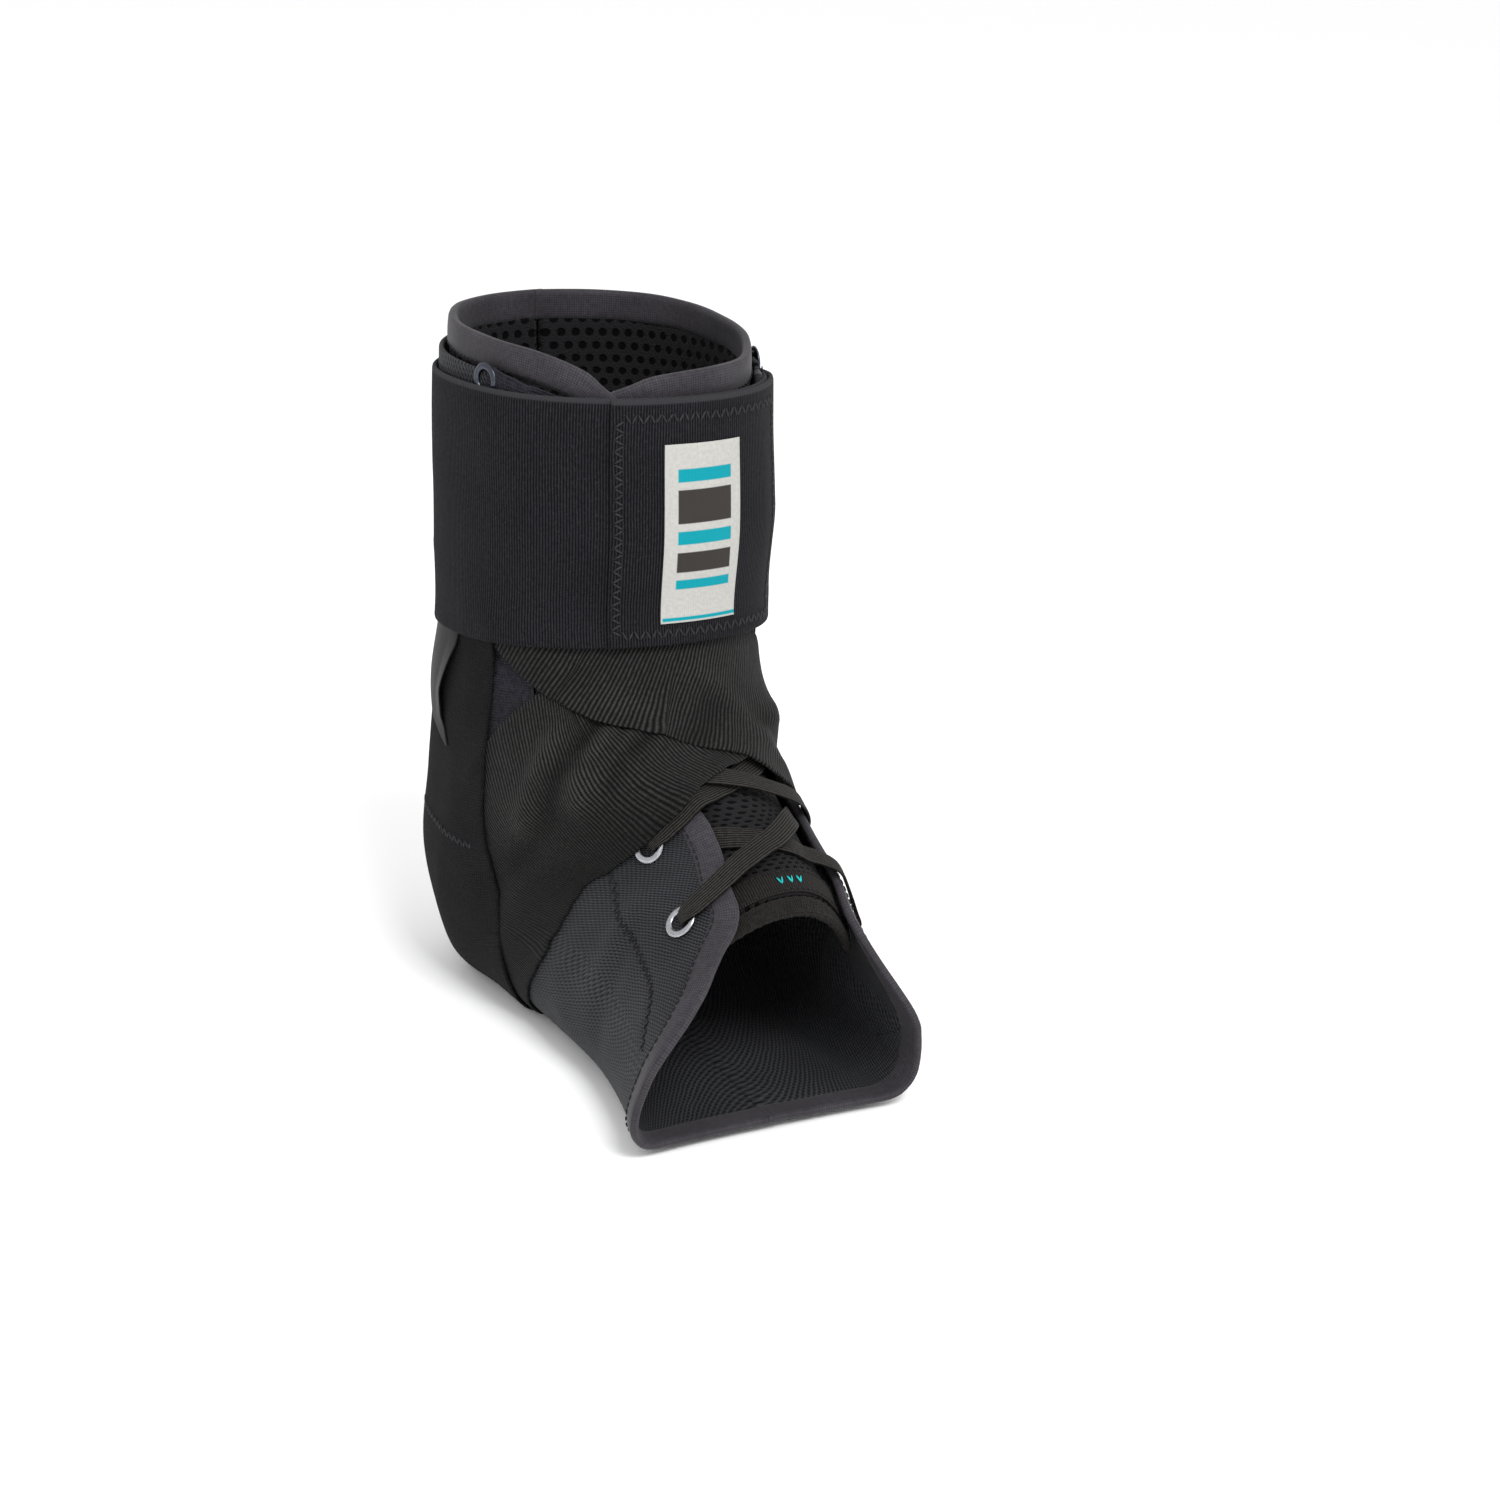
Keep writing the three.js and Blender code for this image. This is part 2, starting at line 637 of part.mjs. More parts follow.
const liningOutline = [
  ...liningTop,
  { along: liningEnd, around: 179.6 },
  { along: liningEnd, around: 80 },
  ...tongueOuterSide,
  ...tipLine,
  ...tongueInnerSide.toReversed(),
  { along: liningEnd, around: -86 },
  { along: liningEnd, around: -179.6 },
];
addMesh('tongue_lining', panel(
  liningOutline,
  (along) => tongueLevel(along) - tongueThickness,
  tongueLevel,
), 'spacer');

const stripOutline = (line, other) => [...line, ...other.toReversed()];
addMesh('rim_binding', panel(
  stripOutline(rimLine, rimInner),
  (along) => tongueLevel(along) - tongueThickness - rimProud,
  (along) => tongueLevel(along) + rimProud - 0.1,
), 'binding');

// Bound end of the tongue and the woven band across it
const tipStart = offsetLine(tipLine, seamGap);
const tipEnd = offsetLine(tipLine, tongueEdgeWidth);
addMesh('tongue_edge', panel(
  stripOutline(tipStart, tipEnd),
  () => tongueOutside - tongueThickness - 0.3,
  () => tongueOutside + 0.4,
), 'binding');
const bandLine = tipLine.filter(({ around }) => around < bandOuterEnd && around > bandInnerEnd);
const bandLow = offsetLine(bandLine, -seamGap);
const bandHigh = offsetLine(bandLine, -seamGap - bandWidth);
const bandLevel = tongueOutside + clearance;
addMesh('tongue_band', panel(
  stripOutline(bandLow, bandHigh),
  () => bandLevel,
  () => bandLevel + bandThickness,
), 'webbing');

// Quarters, their bindings and their eyelets
for (const side of sides) {
  const edge = boundEdge(side);
  const bindingInner = offsetLine(edge, side.sense * bindingWidth);
  const quarterEdge = offsetLine(edge, side.sense * (bindingWidth + seamGap));
  const outline = [
    ...quarterEdge,
    { along: quarterTop, around: side.sense * 179.7 },
    { along: quarterTop, around: quarterEdge[0].around + side.sense * 16 },
  ];
  let quarter = panel(outline, () => quarterInside, () => 0);
  eyeletPairs.forEach((share, index) => {
    const matrix = eyeletFrame(eyeletPlace(side, share));
    quarter = quarter.subtract(manifoldOf(eyeletCutter().applyMatrix4(matrix)));
    raiseTop(eyeletOutline(eyeletPlace(side, share)), flangeTop);
    addMesh(`eyelet_${side.name}_${index + 1}`, manifoldOf(eyeletSolid().applyMatrix4(matrix)), 'nickel');
  });
  addMesh(`quarter_${side.name}`, quarter, 'nylon');
  addMesh(`binding_${side.name}`, panel(
    stripOutline(edge, bindingInner),
    () => quarterInside - bindingBack,
    () => bindingProud,
  ), 'binding');
  raiseTop(stripOutline(edge, bindingInner), bindingProud);
}

// Closed ribbon through stations with a point, a width direction and a width
function ribbonSolid(stations) {
  const corners = [];
  stations.forEach(({ point, sideways, width }, index) => {
    const before = stations[Math.max(index - 1, 0)].point;
    const after = stations[Math.min(index + 1, stations.length - 1)].point;
    const forward = after.clone().sub(before).normalize();
    const across = sideways.clone().addScaledVector(forward, -sideways.dot(forward)).normalize();
    const up = across.clone().cross(forward);
    for (const [w, t] of [[-1, -1], [1, -1], [1, 1], [-1, 1]]) {
      const corner = point.clone().addScaledVector(across, (w * width) / 2);
      corners.push(...corner.addScaledVector(up, (t * laceThickness) / 2).toArray());
    }
  });
  const last = (stations.length - 1) * 4;
  const triangles = [0, 1, 2, 0, 2, 3, last, last + 2, last + 1, last, last + 3, last + 2];
  for (let station = 0; station < last; station += 4) {
    for (let k = 0; k < 4; k += 1) {
      const [a, b] = [station + k, station + ((k + 1) % 4)];
      triangles.push(a, a + 4, b + 4, a, b + 4, b);
    }
  }
  return toManifold(corners, triangles);
}

// Heights of a lace on its way across the open lacing, as shares of its drop from over one quarter
// to under the other
const overCrossing = [
  [0, 1], [0.1, 1], [0.3, 0.68], [0.5, 0.5], [0.68, 0.44], [0.82, 0.08], [0.88, 0], [1, 0],
];
const underCrossing = [[0, 1], [0.05, 0.96], [0.2, 0.04], [0.28, 0], [1, 0]];

function tableHeight(table, t) {
  const next = Math.max(1, table.findIndex(([at]) => at >= THREE.MathUtils.clamp(t, 0, 1)));
  const [[t0, h0], [t1, h1]] = [table[next - 1], table[next]];
  return mix(h0, h1, (THREE.MathUtils.clamp(t, 0, 1) - t0) / (t1 - t0));
}

// Lace that starts under the first eyelet of one side and changes sides at every pair
function laceStations(firstSide, crossing) {
  const stops = [];
  const add = (at, height, width) => stops.push({ ...at, height, width });
  let side = sides[firstSide];
  for (let pair = 0; pair < lacedPairs; pair += 1) {
    const here = eyeletPlace(side, eyeletPairs[pair]);
    const perMillimetre = side.sense / directions(here.along, here.around).across.length();
    const turn = (distance) => (
      { along: here.along, around: here.around - distance * perMillimetre });
    if (pair === 0) {
      add(turn(-laceTail), laceUnder, laceWidth);
      add(turn(-laceTail / 2), laceUnder, laceWidth);
    }
    add(turn(1), laceUnder, laceWidthInHole);
    add(turn(0.2), mix(laceUnder, laceOver, 0.2), laceWidthInHole);
    add(turn(0), mix(laceUnder, laceOver, 0.5), laceWidthInHole);
    add(turn(0.2), mix(laceUnder, laceOver, 0.8), laceWidthInHole);
    add(turn(1.2), laceOver, laceWidthInHole);
    if (pair === lacedPairs - 1) {
      add(turn(laceTail / 2), laceOver, laceWidth);
      add(turn(laceTail), laceOver, laceWidth);
      break;
    }
    const other = sides[1 - sides.indexOf(side)];
    const next = eyeletPlace(other, eyeletPairs[pair + 1]);
    for (let step = 1; step < laceSteps; step += 1) {
      const q = mix(0.06, 0.94, (step - 1) / (laceSteps - 2));
      const bow = laceBow * Math.sin(Math.PI * q);
      const at = { along: mix(here.along, next.along, q + bow), around: mix(here.around, next.around, q) };
      const leave = tableAngle(rowsOf(lacingEdges, side), at.along);
      const arrive = tableAngle(rowsOf(lacingEdges, other), at.along);
      const t = (at.around - leave) / (arrive - leave);
      add(at, mix(laceUnder, laceOver, tableHeight(crossing, t)), laceWidth);
    }
    side = other;
  }
  return stops;
}

function laceSolid(firstSide, crossing) {
  const stops = laceStations(firstSide, crossing);
  const points = stops.map(({ along, around, height }) => place(along, around, height));
  let sideways = null;
  const stations = stops.map((stop, index) => {
    const { down, across, out } = directions(stop.along, stop.around);
    const before = stops[Math.max(index - 1, 0)];
    const after = stops[Math.min(index + 1, stops.length - 1)];
    const inHole = stop.width < laceWidth;
    const heading = inHole
      ? across
      : down.multiplyScalar(after.along - before.along).addScaledVector(across, after.around - before.around);
    const direction = out.clone().cross(heading).normalize();
    if (sideways && sideways.dot(direction) < 0) direction.negate();
    sideways = direction;
    return { point: points[index], sideways: direction, width: stop.width };
  });
  for (let index = 1; index < stops.length; index += 1) {
    const pair = [stops[index - 1], stops[index]];
    const level = Math.max(pair[0].height, pair[1].height) + laceThickness / 2;
    if (level > 0 && Math.abs(pair[0].around - pair[1].around) > 1) {
      const reach = laceWidth / 2 + clearance;
      raiseTop(stripOutline(offsetLine(pair, -reach), offsetLine(pair, reach)), level);
    }
  }
  return ribbonSolid(stations);
}
addMesh('lace_outer', laceSolid(0, overCrossing), 'lace');
addMesh('lace_inner', laceSolid(1, underCrossing), 'lace');

// Figure-of-eight straps, the inner one first
function strapOutline(path) {
  const line = smoothLine(path.map((row) => ({ ...row, along: row.along * bootLength })), 28);
  return stripOutline(offsetLine(line, -strapWidth / 2), offsetLine(line, strapWidth / 2));
}
addMesh('strap_inner', laidPiece(strapOutline(innerStrapPath), strapThickness, true), 'webbing');
addMesh('strap_outer', laidPiece(strapOutline(outerStrapPath), strapThickness, false), 'webbing');

// Elastic cuff. It bridges what it covers, and its outer end lies over its start.
function cuffBridge(ring, column, below) {
  const rows = [cuffTop, cuffTop + cuffHeight].map((along) => Math.round(ringPosition(along)));
  const [upper, lower] = rows.map((row) => {
    const [before, here, after] = [-1, 0, 1].map((offset) => (
      Math.max(below(row, column + offset), below(row - 1, column + offset))));
    return (before + 2 * here + after) / 4;
  });
  const t = THREE.MathUtils.clamp((ringAlong[ring] - cuffTop) / cuffHeight, 0, 1);
  return Math.max(mix(upper, lower, t), below(ring, column));
}
const cuffOutline = [
  { along: cuffTop, around: cuffStart },
  { along: cuffTop, around: cuffEnd },
  { along: cuffTop + cuffHeight, around: cuffEnd },
  { along: cuffTop + cuffHeight, around: cuffStart },
];
addMesh('elastic_cuff', laidPiece(cuffOutline, cuffThickness, true, cuffBridge), 'elastic');

// Label on the cuff's outer end
const labelDegrees = labelWidth / directions(labelTop, 0).across.length();
addMesh('front_label', laidPiece([
  { along: labelTop, around: labelEdge },
  { along: labelTop, around: labelEdge - labelDegrees },
  { along: labelTop + labelHeight, around: labelEdge - labelDegrees },
  { along: labelTop + labelHeight, around: labelEdge },
], labelThickness, true), 'label');

// Folded tag that hangs from under the cuff on the outer strap's end
const tagTop = cuffTop + cuffHeight + clearance;
const tagDegrees = tagWidth / directions(tagTop, 100).across.length();
addMesh('side_tag', laidPiece([
  { along: tagTop, around: 93 },
  { along: tagTop, around: 93 + tagDegrees },
  { along: tagTop + tagLength * 0.45, around: 94 + tagDegrees },
  { along: tagTop + tagLength * 0.8, around: 93 + tagDegrees * 0.6 },
  { along: tagTop + tagLength, around: 92 },
  { along: tagTop + tagLength * 0.6, around: 96 },
  { along: tagTop + tagLength * 0.3, around: 97 },
], tagThickness, true), 'tag');

// Origin under the middle of the brace, on the floor
const box = new THREE.Box3().setFromObject(group);
const middle = box.getCenter(new THREE.Vector3());
group.position.set(-middle.x, -middle.y, -box.min.z);

export default group;
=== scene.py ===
# %% [markdown]
# # Lace-up ankle brace for the right side
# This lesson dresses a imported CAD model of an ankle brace. The model gives the sizes and the
# place of each piece, and every piece that shows gets finer cloth, stitches and a woven finish.
# The brace is made of layers that lie on one another, so one surface, the outside of the laced
# shell, carries them all, and each layer is laid on what is already there.

# %% Load the frame
import math
from functools import partial

import bmesh
import bpy
import numpy as np
from mathutils import Matrix, Vector


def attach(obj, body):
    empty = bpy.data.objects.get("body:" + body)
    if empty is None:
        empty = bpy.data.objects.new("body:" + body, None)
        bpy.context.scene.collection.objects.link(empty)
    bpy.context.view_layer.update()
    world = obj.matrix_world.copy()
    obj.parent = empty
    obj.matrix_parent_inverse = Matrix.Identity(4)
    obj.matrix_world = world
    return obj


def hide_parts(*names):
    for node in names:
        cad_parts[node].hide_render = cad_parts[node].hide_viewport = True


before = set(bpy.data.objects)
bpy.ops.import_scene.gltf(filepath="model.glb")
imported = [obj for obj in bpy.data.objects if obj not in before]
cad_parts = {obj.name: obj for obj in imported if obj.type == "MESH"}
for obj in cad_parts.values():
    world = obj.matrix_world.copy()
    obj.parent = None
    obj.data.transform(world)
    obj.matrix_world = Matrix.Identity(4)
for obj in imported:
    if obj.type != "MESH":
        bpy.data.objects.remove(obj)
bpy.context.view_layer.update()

# %% [markdown]
# ## Camera
# The camera stands where the photograph was taken from. It could be typed in as a matrix, but
# an angle round the brace, an angle above it, a roll, a distance and a lens say more to a
# reader. Fitting the outlines of the cuff, the straps and the eyelets gave their values.

# %% Camera
SHIFT = np.array([-89.301, 0.614, 0.600])  # mm, from the surface's own axes to the frame
camera_azimuth, camera_elevation, camera_roll = (math.radians(a) for a in (59.48, 17.23, 2.15))
camera_distance = 0.798  # metres
camera_target = Vector((np.array([127.43, 9.97, 93.51]) + SHIFT) / 1000)

back = Vector((
    math.sin(camera_azimuth) * math.cos(camera_elevation),
    -math.cos(camera_azimuth) * math.cos(camera_elevation),
    math.sin(camera_elevation),
))
level_right = Vector((math.cos(camera_azimuth), math.sin(camera_azimuth), 0))
level_up = back.cross(level_right)
right = level_right * math.cos(camera_roll) + level_up * math.sin(camera_roll)
up = level_up * math.cos(camera_roll) - level_right * math.sin(camera_roll)

camera_data = bpy.data.cameras.new("camera")
camera_data.sensor_width = 36
camera_data.lens = 68.39
camera_data.clip_start = 0.01
camera = bpy.data.objects.new("camera", camera_data)
bpy.context.scene.collection.objects.link(camera)
place_of_camera = camera_target + back * camera_distance
camera.matrix_world = Matrix((
    (right.x, up.x, back.x, place_of_camera.x),
    (right.y, up.y, back.y, place_of_camera.y),
    (right.z, up.z, back.z, place_of_camera.z),
    (0, 0, 0, 1),
))
bpy.context.scene.camera = camera
print("camera at", [round(value, 3) for value in place_of_camera])

# %% [markdown]
# ## The surface that carries every layer
# A place on the shell is given by `along`, the distance down the middle of the shell from its
# top, and `around`, the angle about that middle: 0 in front, 90 on the outer side, 180 at the
# back and under the sole. The surface could be read from the CAD meshes, but the table that
# they are built on gives it smoothly: thirteen sections, as shares of the main sizes, with a
# spline through them. So the pieces fit the CAD model, and each place knows its way out.

# %% Sections of the shell
SHELL_LENGTH, SHAFT_HEIGHT, SOLE_LENGTH, HALF_WIDTH, SOLE_HEIGHT = 303.0, 215.0, 200.0, 45.0, 2.0
# along, back x, back z, front x, front z, half width, sideways shift, egg shape, flat sole
SECTIONS = np.array([
    [0.0, 0.04, 1.0, 0.51, 1.0, 0.978, -0.044, 0.04, 0.9],
    [0.116, 0.042, 0.837, 0.505, 0.837, 1.0, -0.033, 0.04, 0.9],
    [0.215, 0.045, 0.698, 0.495, 0.698, 1.0, 0.0, 0.04, 0.9],
    [0.314, 0.04, 0.558, 0.485, 0.577, 0.962, 0.0, 0.05, 0.9],
    [0.396, 0.018, 0.419, 0.52, 0.484, 0.978, -0.011, 0.06, 0.9],
    [0.469, -0.01, 0.27, 0.585, 0.433, 1.0, -0.011, 0.08, 0.9],
    [0.531, -0.015, 0.126, 0.635, 0.409, 1.011, -0.011, 0.1, 0.85],
    [0.594, 0.055, -0.006, 0.69, 0.381, 0.944, 0.067, 0.14, 0.75],
    [0.67, 0.23, -0.014, 0.735, 0.353, 0.878, 0.089, 0.16, 0.68],
    [0.752, 0.43, -0.014, 0.78, 0.326, 0.856, 0.067, 0.16, 0.65],
    [0.828, 0.605, -0.014, 0.835, 0.288, 0.833, 0.0, 0.15, 0.65],
    [0.911, 0.78, -0.014, 0.905, 0.247, 0.911, -0.089, 0.13, 0.65],
    [1.0, 0.95, -0.014, 1.0, 0.195, 1.089, -0.156, 0.1, 0.65],
])
FRONT_POWER = 0.9  # 1 is an ellipse, and less is squarer, as the last column is for the back


def section(along):
    """All values of the sections at distances along, by a spline through the table."""
    share = np.clip(np.asarray(along, float) / SHELL_LENGTH, 0, 1)
    last = len(SECTIONS) - 1
    row = np.clip(np.searchsorted(SECTIONS[:, 0], share, side="right") - 1, 0, last - 1)
    t = ((share - SECTIONS[row, 0]) / (SECTIONS[row + 1, 0] - SECTIONS[row, 0]))[..., None]
    a, b, c, d = (SECTIONS[np.clip(row + step, 0, last)] for step in (-1, 0, 1, 2))
    curve = 2 * b + (c - a) * t + (2 * a - 5 * b + 4 * c - d) * t**2 + (3 * b - a - 3 * c + d) * t**3
    return np.moveaxis(curve / 2, -1, 0)


def on_shell(along, around):
    """Points of the shell's outside, in millimetres on its own axes."""
    along, around = np.broadcast_arrays(np.asarray(along, float), np.asarray(around, float))
    _, back_x, back_z, front_x, front_z, half, shift, egg, sole = section(along)
    x0, x1 = back_x * SOLE_LENGTH, front_x * SOLE_LENGTH
    z0, z1 = back_z * SHAFT_HEIGHT, front_z * SHAFT_HEIGHT
    cosine, sine = np.cos(np.radians(around)), np.sin(np.radians(around))
    power = np.where(cosine < 0, sole, FRONT_POWER)
    forward = np.sign(cosine) * np.abs(cosine) ** power
    side = np.sign(sine) * np.abs(sine) ** power * (1 - egg * forward)
    z = (z0 + z1) / 2 + (z1 - z0) / 2 * forward
    near = np.maximum(SOLE_HEIGHT - np.abs(z - SOLE_HEIGHT), 0)
    floor = np.maximum(z, SOLE_HEIGHT) + near**2 / (4 * SOLE_HEIGHT)
    x = (x0 + x1) / 2 + (x1 - x0) / 2 * forward
    return np.stack([x, HALF_WIDTH * (shift - half * side), floor], -1)


def unit(vectors):
    """Vectors of length one."""
    return vectors / np.maximum(np.linalg.norm(vectors, axis=-1, keepdims=True), 1e-9)


def directions(along, around):
    """Steps down the shell and around it, each for one millimetre or degree, and the way out."""
    inside = np.clip(along, 0.6, SHELL_LENGTH - 0.6)  # so that half a millimetre each way is there
    down = on_shell(inside + 0.5, around) - on_shell(inside - 0.5, around)
    across = on_shell(along, np.asarray(around) + 0.5) - on_shell(along, np.asarray(around) - 0.5)
    return down, across, unit(np.cross(across, down))


def place(along, around, height):
    """Points at a height in millimetres above the shell, in metres in the frame."""
    out = directions(along, around)[2]
    return (on_shell(along, around) + out * np.asarray(height, float)[..., None] + SHIFT) / 1000


print("the front of the top edge is at", place(0.0, 0.0, np.array(0.0)).round(3))

# %% [markdown]
# ## Lines on the surface
# Edges and straps follow smooth lines through a few chosen places. Curve objects would have to
# be wrapped on the shell again and again, so a line stays a list of places on it. It can be
# moved sideways, like a tape measure laid beside it, which gives a strap its real width.

# %% Smooth lines
DEGREE = 0.75  # mm over the surface for one degree, on average


def smooth_line(rows, count=160):
    """A smooth line through rows of numbers, without the loops that uneven rows could cause."""
    rows = np.asarray(rows, float)
    scale = np.ones(rows.shape[1])
    scale[1] = DEGREE
    rows = rows * scale
    first, last = 2 * rows[0] - rows[1], 2 * rows[-1] - rows[-2]
    rows = np.vstack([first, rows, last])
    where = np.linspace(0, len(rows) - 3, count)
    i = np.minimum(where.astype(int), len(rows) - 4)
    t = (where - i)[:, None]
    p0, p1, p2, p3 = (rows[i + step] for step in range(4))
    d0, d1, d2 = (np.sqrt(np.maximum(np.linalg.norm(q - p, axis=1), 1e-6))[:, None]
                  for p, q in ((p0, p1), (p1, p2), (p2, p3)))
    m1 = ((p1 - p0) / d0 - (p2 - p0) / (d0 + d1) + (p2 - p1) / d1) * d1
    m2 = ((p2 - p1) / d1 - (p3 - p1) / (d1 + d2) + (p3 - p2) / d2) * d1
    line = p1 + m1 * t + (3 * (p2 - p1) - 2 * m1 - m2) * t**2 + (2 * (p1 - p2) + m1 + m2) * t**3
    return line / scale


def line_lengths(line):
    """Distance from the start of a line to each of its points, in millimetres."""
    points = on_shell(line[:, 0], line[:, 1])
    return np.concatenate([[0], np.cumsum(np.linalg.norm(np.diff(points, axis=0), axis=1))])


def resample(line, distances):
    """Places on a line at distances from its start."""
    lengths = line_lengths(line)
    return np.stack([np.interp(distances, lengths, line[:, k]) for k in range(line.shape[1])], -1)


front = np.stack([np.linspace(0, SHELL_LENGTH, 80), np.zeros(80)], -1)
print("down the front the shell measures", round(float(line_lengths(front)[-1])), "mm")


# %% Neighbours of a line
LONGEST_STEP = 4  # mm that the walk goes straight before it turns with the surface


def walk_across(line, headings, distance):
    """Walk from each point of a line over the surface, to the left of its heading."""
    along, around = line[:, 0].copy(), line[:, 1].copy()
    distance = np.broadcast_to(np.asarray(distance, float), along.shape)
    steps = max(1, int(np.ceil(np.abs(distance).max() / LONGEST_STEP)))
    down, across, out = directions(along, around)
    heading = down * headings[:, :1] + across * headings[:, 1:]
    way = unit(np.cross(heading, out)) * np.sign(distance)[:, None]
    for _ in range(steps):
        down, across, out = directions(along, around)
        way = unit(way - out * (way * out).sum(-1, keepdims=True))
        dd, aa, da = (down * down).sum(-1), (across * across).sum(-1), (down * across).sum(-1)
        dw, aw = (down * way).sum(-1), (across * way).sum(-1)
        scale = np.abs(distance) / steps / (dd * aa - da * da)
        along = along + (dw * aa - aw * da) * scale
        around = around + (aw * dd - dw * da) * scale
    return np.stack([along, around], -1)


def offset_line(line, distance):
    """The same line moved sideways. A third column of the line widens the distance."""
    headings = np.zeros((len(line), 2))
    headings[1:-1] = line[2:, :2] - line[:-2, :2]
    headings[0], headings[-1] = line[1, :2] - line[0, :2], line[-1, :2] - line[-2, :2]
    spread = line[:, 2] if line.shape[1] > 2 else 1
    return walk_across(line, headings, distance * spread)


aside = offset_line(front, 10)
print("a line 10 mm beside the front runs", round(float(aside[40, 1]), 1), "degrees round, half way down")

# %% [markdown]
# ## Laying one layer on the next
# On the real brace each layer is pulled tight over the last. A cloth simulation could do that,
# but it needs a solid to pull against, and the brace is empty. So a map of heights says how far the
# layers laid so far stand above the shell. Each new piece reads the map under it, bridges the
# small steps as taut cloth does, and is drawn into the map itself. That is how the edges of
# laces and straps show through what lies over them.

# %% The map of heights
MAP_TURN = 720  # columns, half a degree each
BARE = -1.2  # mm, the height where no layer lies
heights = np.full((int(SHELL_LENGTH) + 2, MAP_TURN), BARE)


def blur(field, along_mm, around_columns):
    """A soft copy of a map, wrapped round the shell. A column is half a degree."""
    for axis, width in ((0, along_mm), (1, around_columns)):
        reach = int(3 * width) + 1
        weights = np.exp(-0.5 * (np.arange(-reach, reach + 1) / width) ** 2)
        weights /= weights.sum()
        mode = "edge" if axis == 0 else "wrap"
        pads = [(reach, reach) if axis == k else (0, 0) for k in (0, 1)]
        wide = np.pad(field, pads, mode=mode)
        field = sum(w * np.take(wide, np.arange(k, k + field.shape[axis]), axis=axis)
                    for k, w in enumerate(weights))
    return field


def read_map(field, along, around):
    """Heights of a map at places, with straight lines between its cells."""
    a = np.clip(along, 0, field.shape[0] - 1.001)
    b = np.mod(np.asarray(around) * 2, MAP_TURN)
    i, j = a.astype(int), b.astype(int) % MAP_TURN
    fa, fb = a - i, b - np.floor(b)
    k = (j + 1) % MAP_TURN
    top = field[i, j] * (1 - fb) + field[i, k] * fb
    low = field[i + 1, j] * (1 - fb) + field[i + 1, k] * fb
    return top * (1 - fa) + low * fa


def draw_on_map(field, along, around, height):
    """Raise a map to the heights of a piece, given on the piece's own grid.

    Each place also raises the cells beside it, so that none between two places is missed.
    """
    for di in (-0.7, 0, 0.7):
        for dj in (-2, -1, 0, 1, 2):
            i = np.clip(np.round(along + di).astype(int), 0, field.shape[0] - 1)
            j = np.mod(np.round(around * 2 + dj).astype(int), MAP_TURN)
            np.maximum.at(field, (i, j), height)


print("the map has", heights.shape, "cells")

# %% [markdown]
# ## Cloth between two lines
# Every strip, strap and panel is a grid of places between two side lines. Solidify could give a
# flat sheet its thickness, but not a rounded edge, a fatter middle or a height of its own at
# each place. So the grid gets an upper and a lower face that meet in a rounded edge. Its UV map
# is in millimetres, U across the piece and V down its length, and a weave keeps its real size.

# %% Grid of a piece
def ticks(length, step, edge):
    """Distances down a length, close together near both ends for a rounded edge."""
    ends = [0, 0.12 * edge, 0.42 * edge, edge]  # nearly even steps round a quarter circle
    count = max(2, int(round((length - 2 * edge) / step)))
    middle = np.linspace(edge, length - edge, count + 1)[1:-1]
    return np.concatenate([ends, middle, [length - value for value in reversed(ends)]])


def patch(first, second, step=1.5, edge=0.8):
    """Grid of places between two side lines of equal point count."""
    middle = (first + second) / 2
    lengths = line_lengths(middle)
    total = lengths[-1]
    down = ticks(total, step, edge)
    sides = [np.stack([np.interp(down, lengths, side[:, k]) for k in (0, 1)], -1)
             for side in (first[:, :2], second[:, :2])]
    samples = [on_shell(*(sides[0] * (1 - t) + sides[1] * t).T) for t in np.linspace(0, 1, 9)]
    widths = sum(np.linalg.norm(q - p, axis=1) for p, q in zip(samples, samples[1:]))
    # Both rounded edges keep their width in millimetres, even where the piece is narrow.
    across = ticks(np.median(widths), step, edge) / np.median(widths)
    edge_share = np.minimum(edge / np.maximum(widths, 2.2 * edge), 0.45)[:, None]
    mine = edge / np.median(widths)
    shares = np.interp(across, [0, mine, 1 - mine, 1], [0, 1, 2, 3])
    shares = np.where(shares < 1, shares * edge_share,
                      np.where(shares > 2, 1 - (3 - shares) * edge_share,
                               edge_share + (shares - 1) * (1 - 2 * edge_share)))
    places = sides[0][:, None] * (1 - shares[..., None]) + sides[1][:, None] * shares[..., None]
    u = shares * widths[:, None]
    v = np.broadcast_to(down[:, None], u.shape)
    return {"along": places[..., 0], "around": places[..., 1], "u": u, "v": v, "edge": edge,
            "to_side": np.minimum(u, widths[:, None] - u), "to_end": np.minimum(v, total - v)}


def lay(grid, base, gap=0.15, bridge=3):
    """Heights of a piece's lower face on a map, a gap above it, with small steps bridged."""
    below = read_map(base, grid["along"], grid["around"]) + gap
    height = below
    for _ in range(bridge):
        wide = np.pad(height, 2, mode="edge")
        rows = [wide[k:k + height.shape[0], 2:-2] for k in range(5)]
        columns = [wide[2:-2, k:k + height.shape[1]] for k in range(5)]
        height = np.maximum(sum(rows + columns) / 10, below)
    return height


print("a rounded edge and the steps after it, in mm:", ticks(10, 1.5, 0.8)[:6].round(2))


# %% Mesh of a piece
def link(name, mesh):
    """An object for a mesh, in the scene."""
    piece = bpy.data.objects.new(name, mesh)
    bpy.context.scene.collection.objects.link(piece)
    return piece


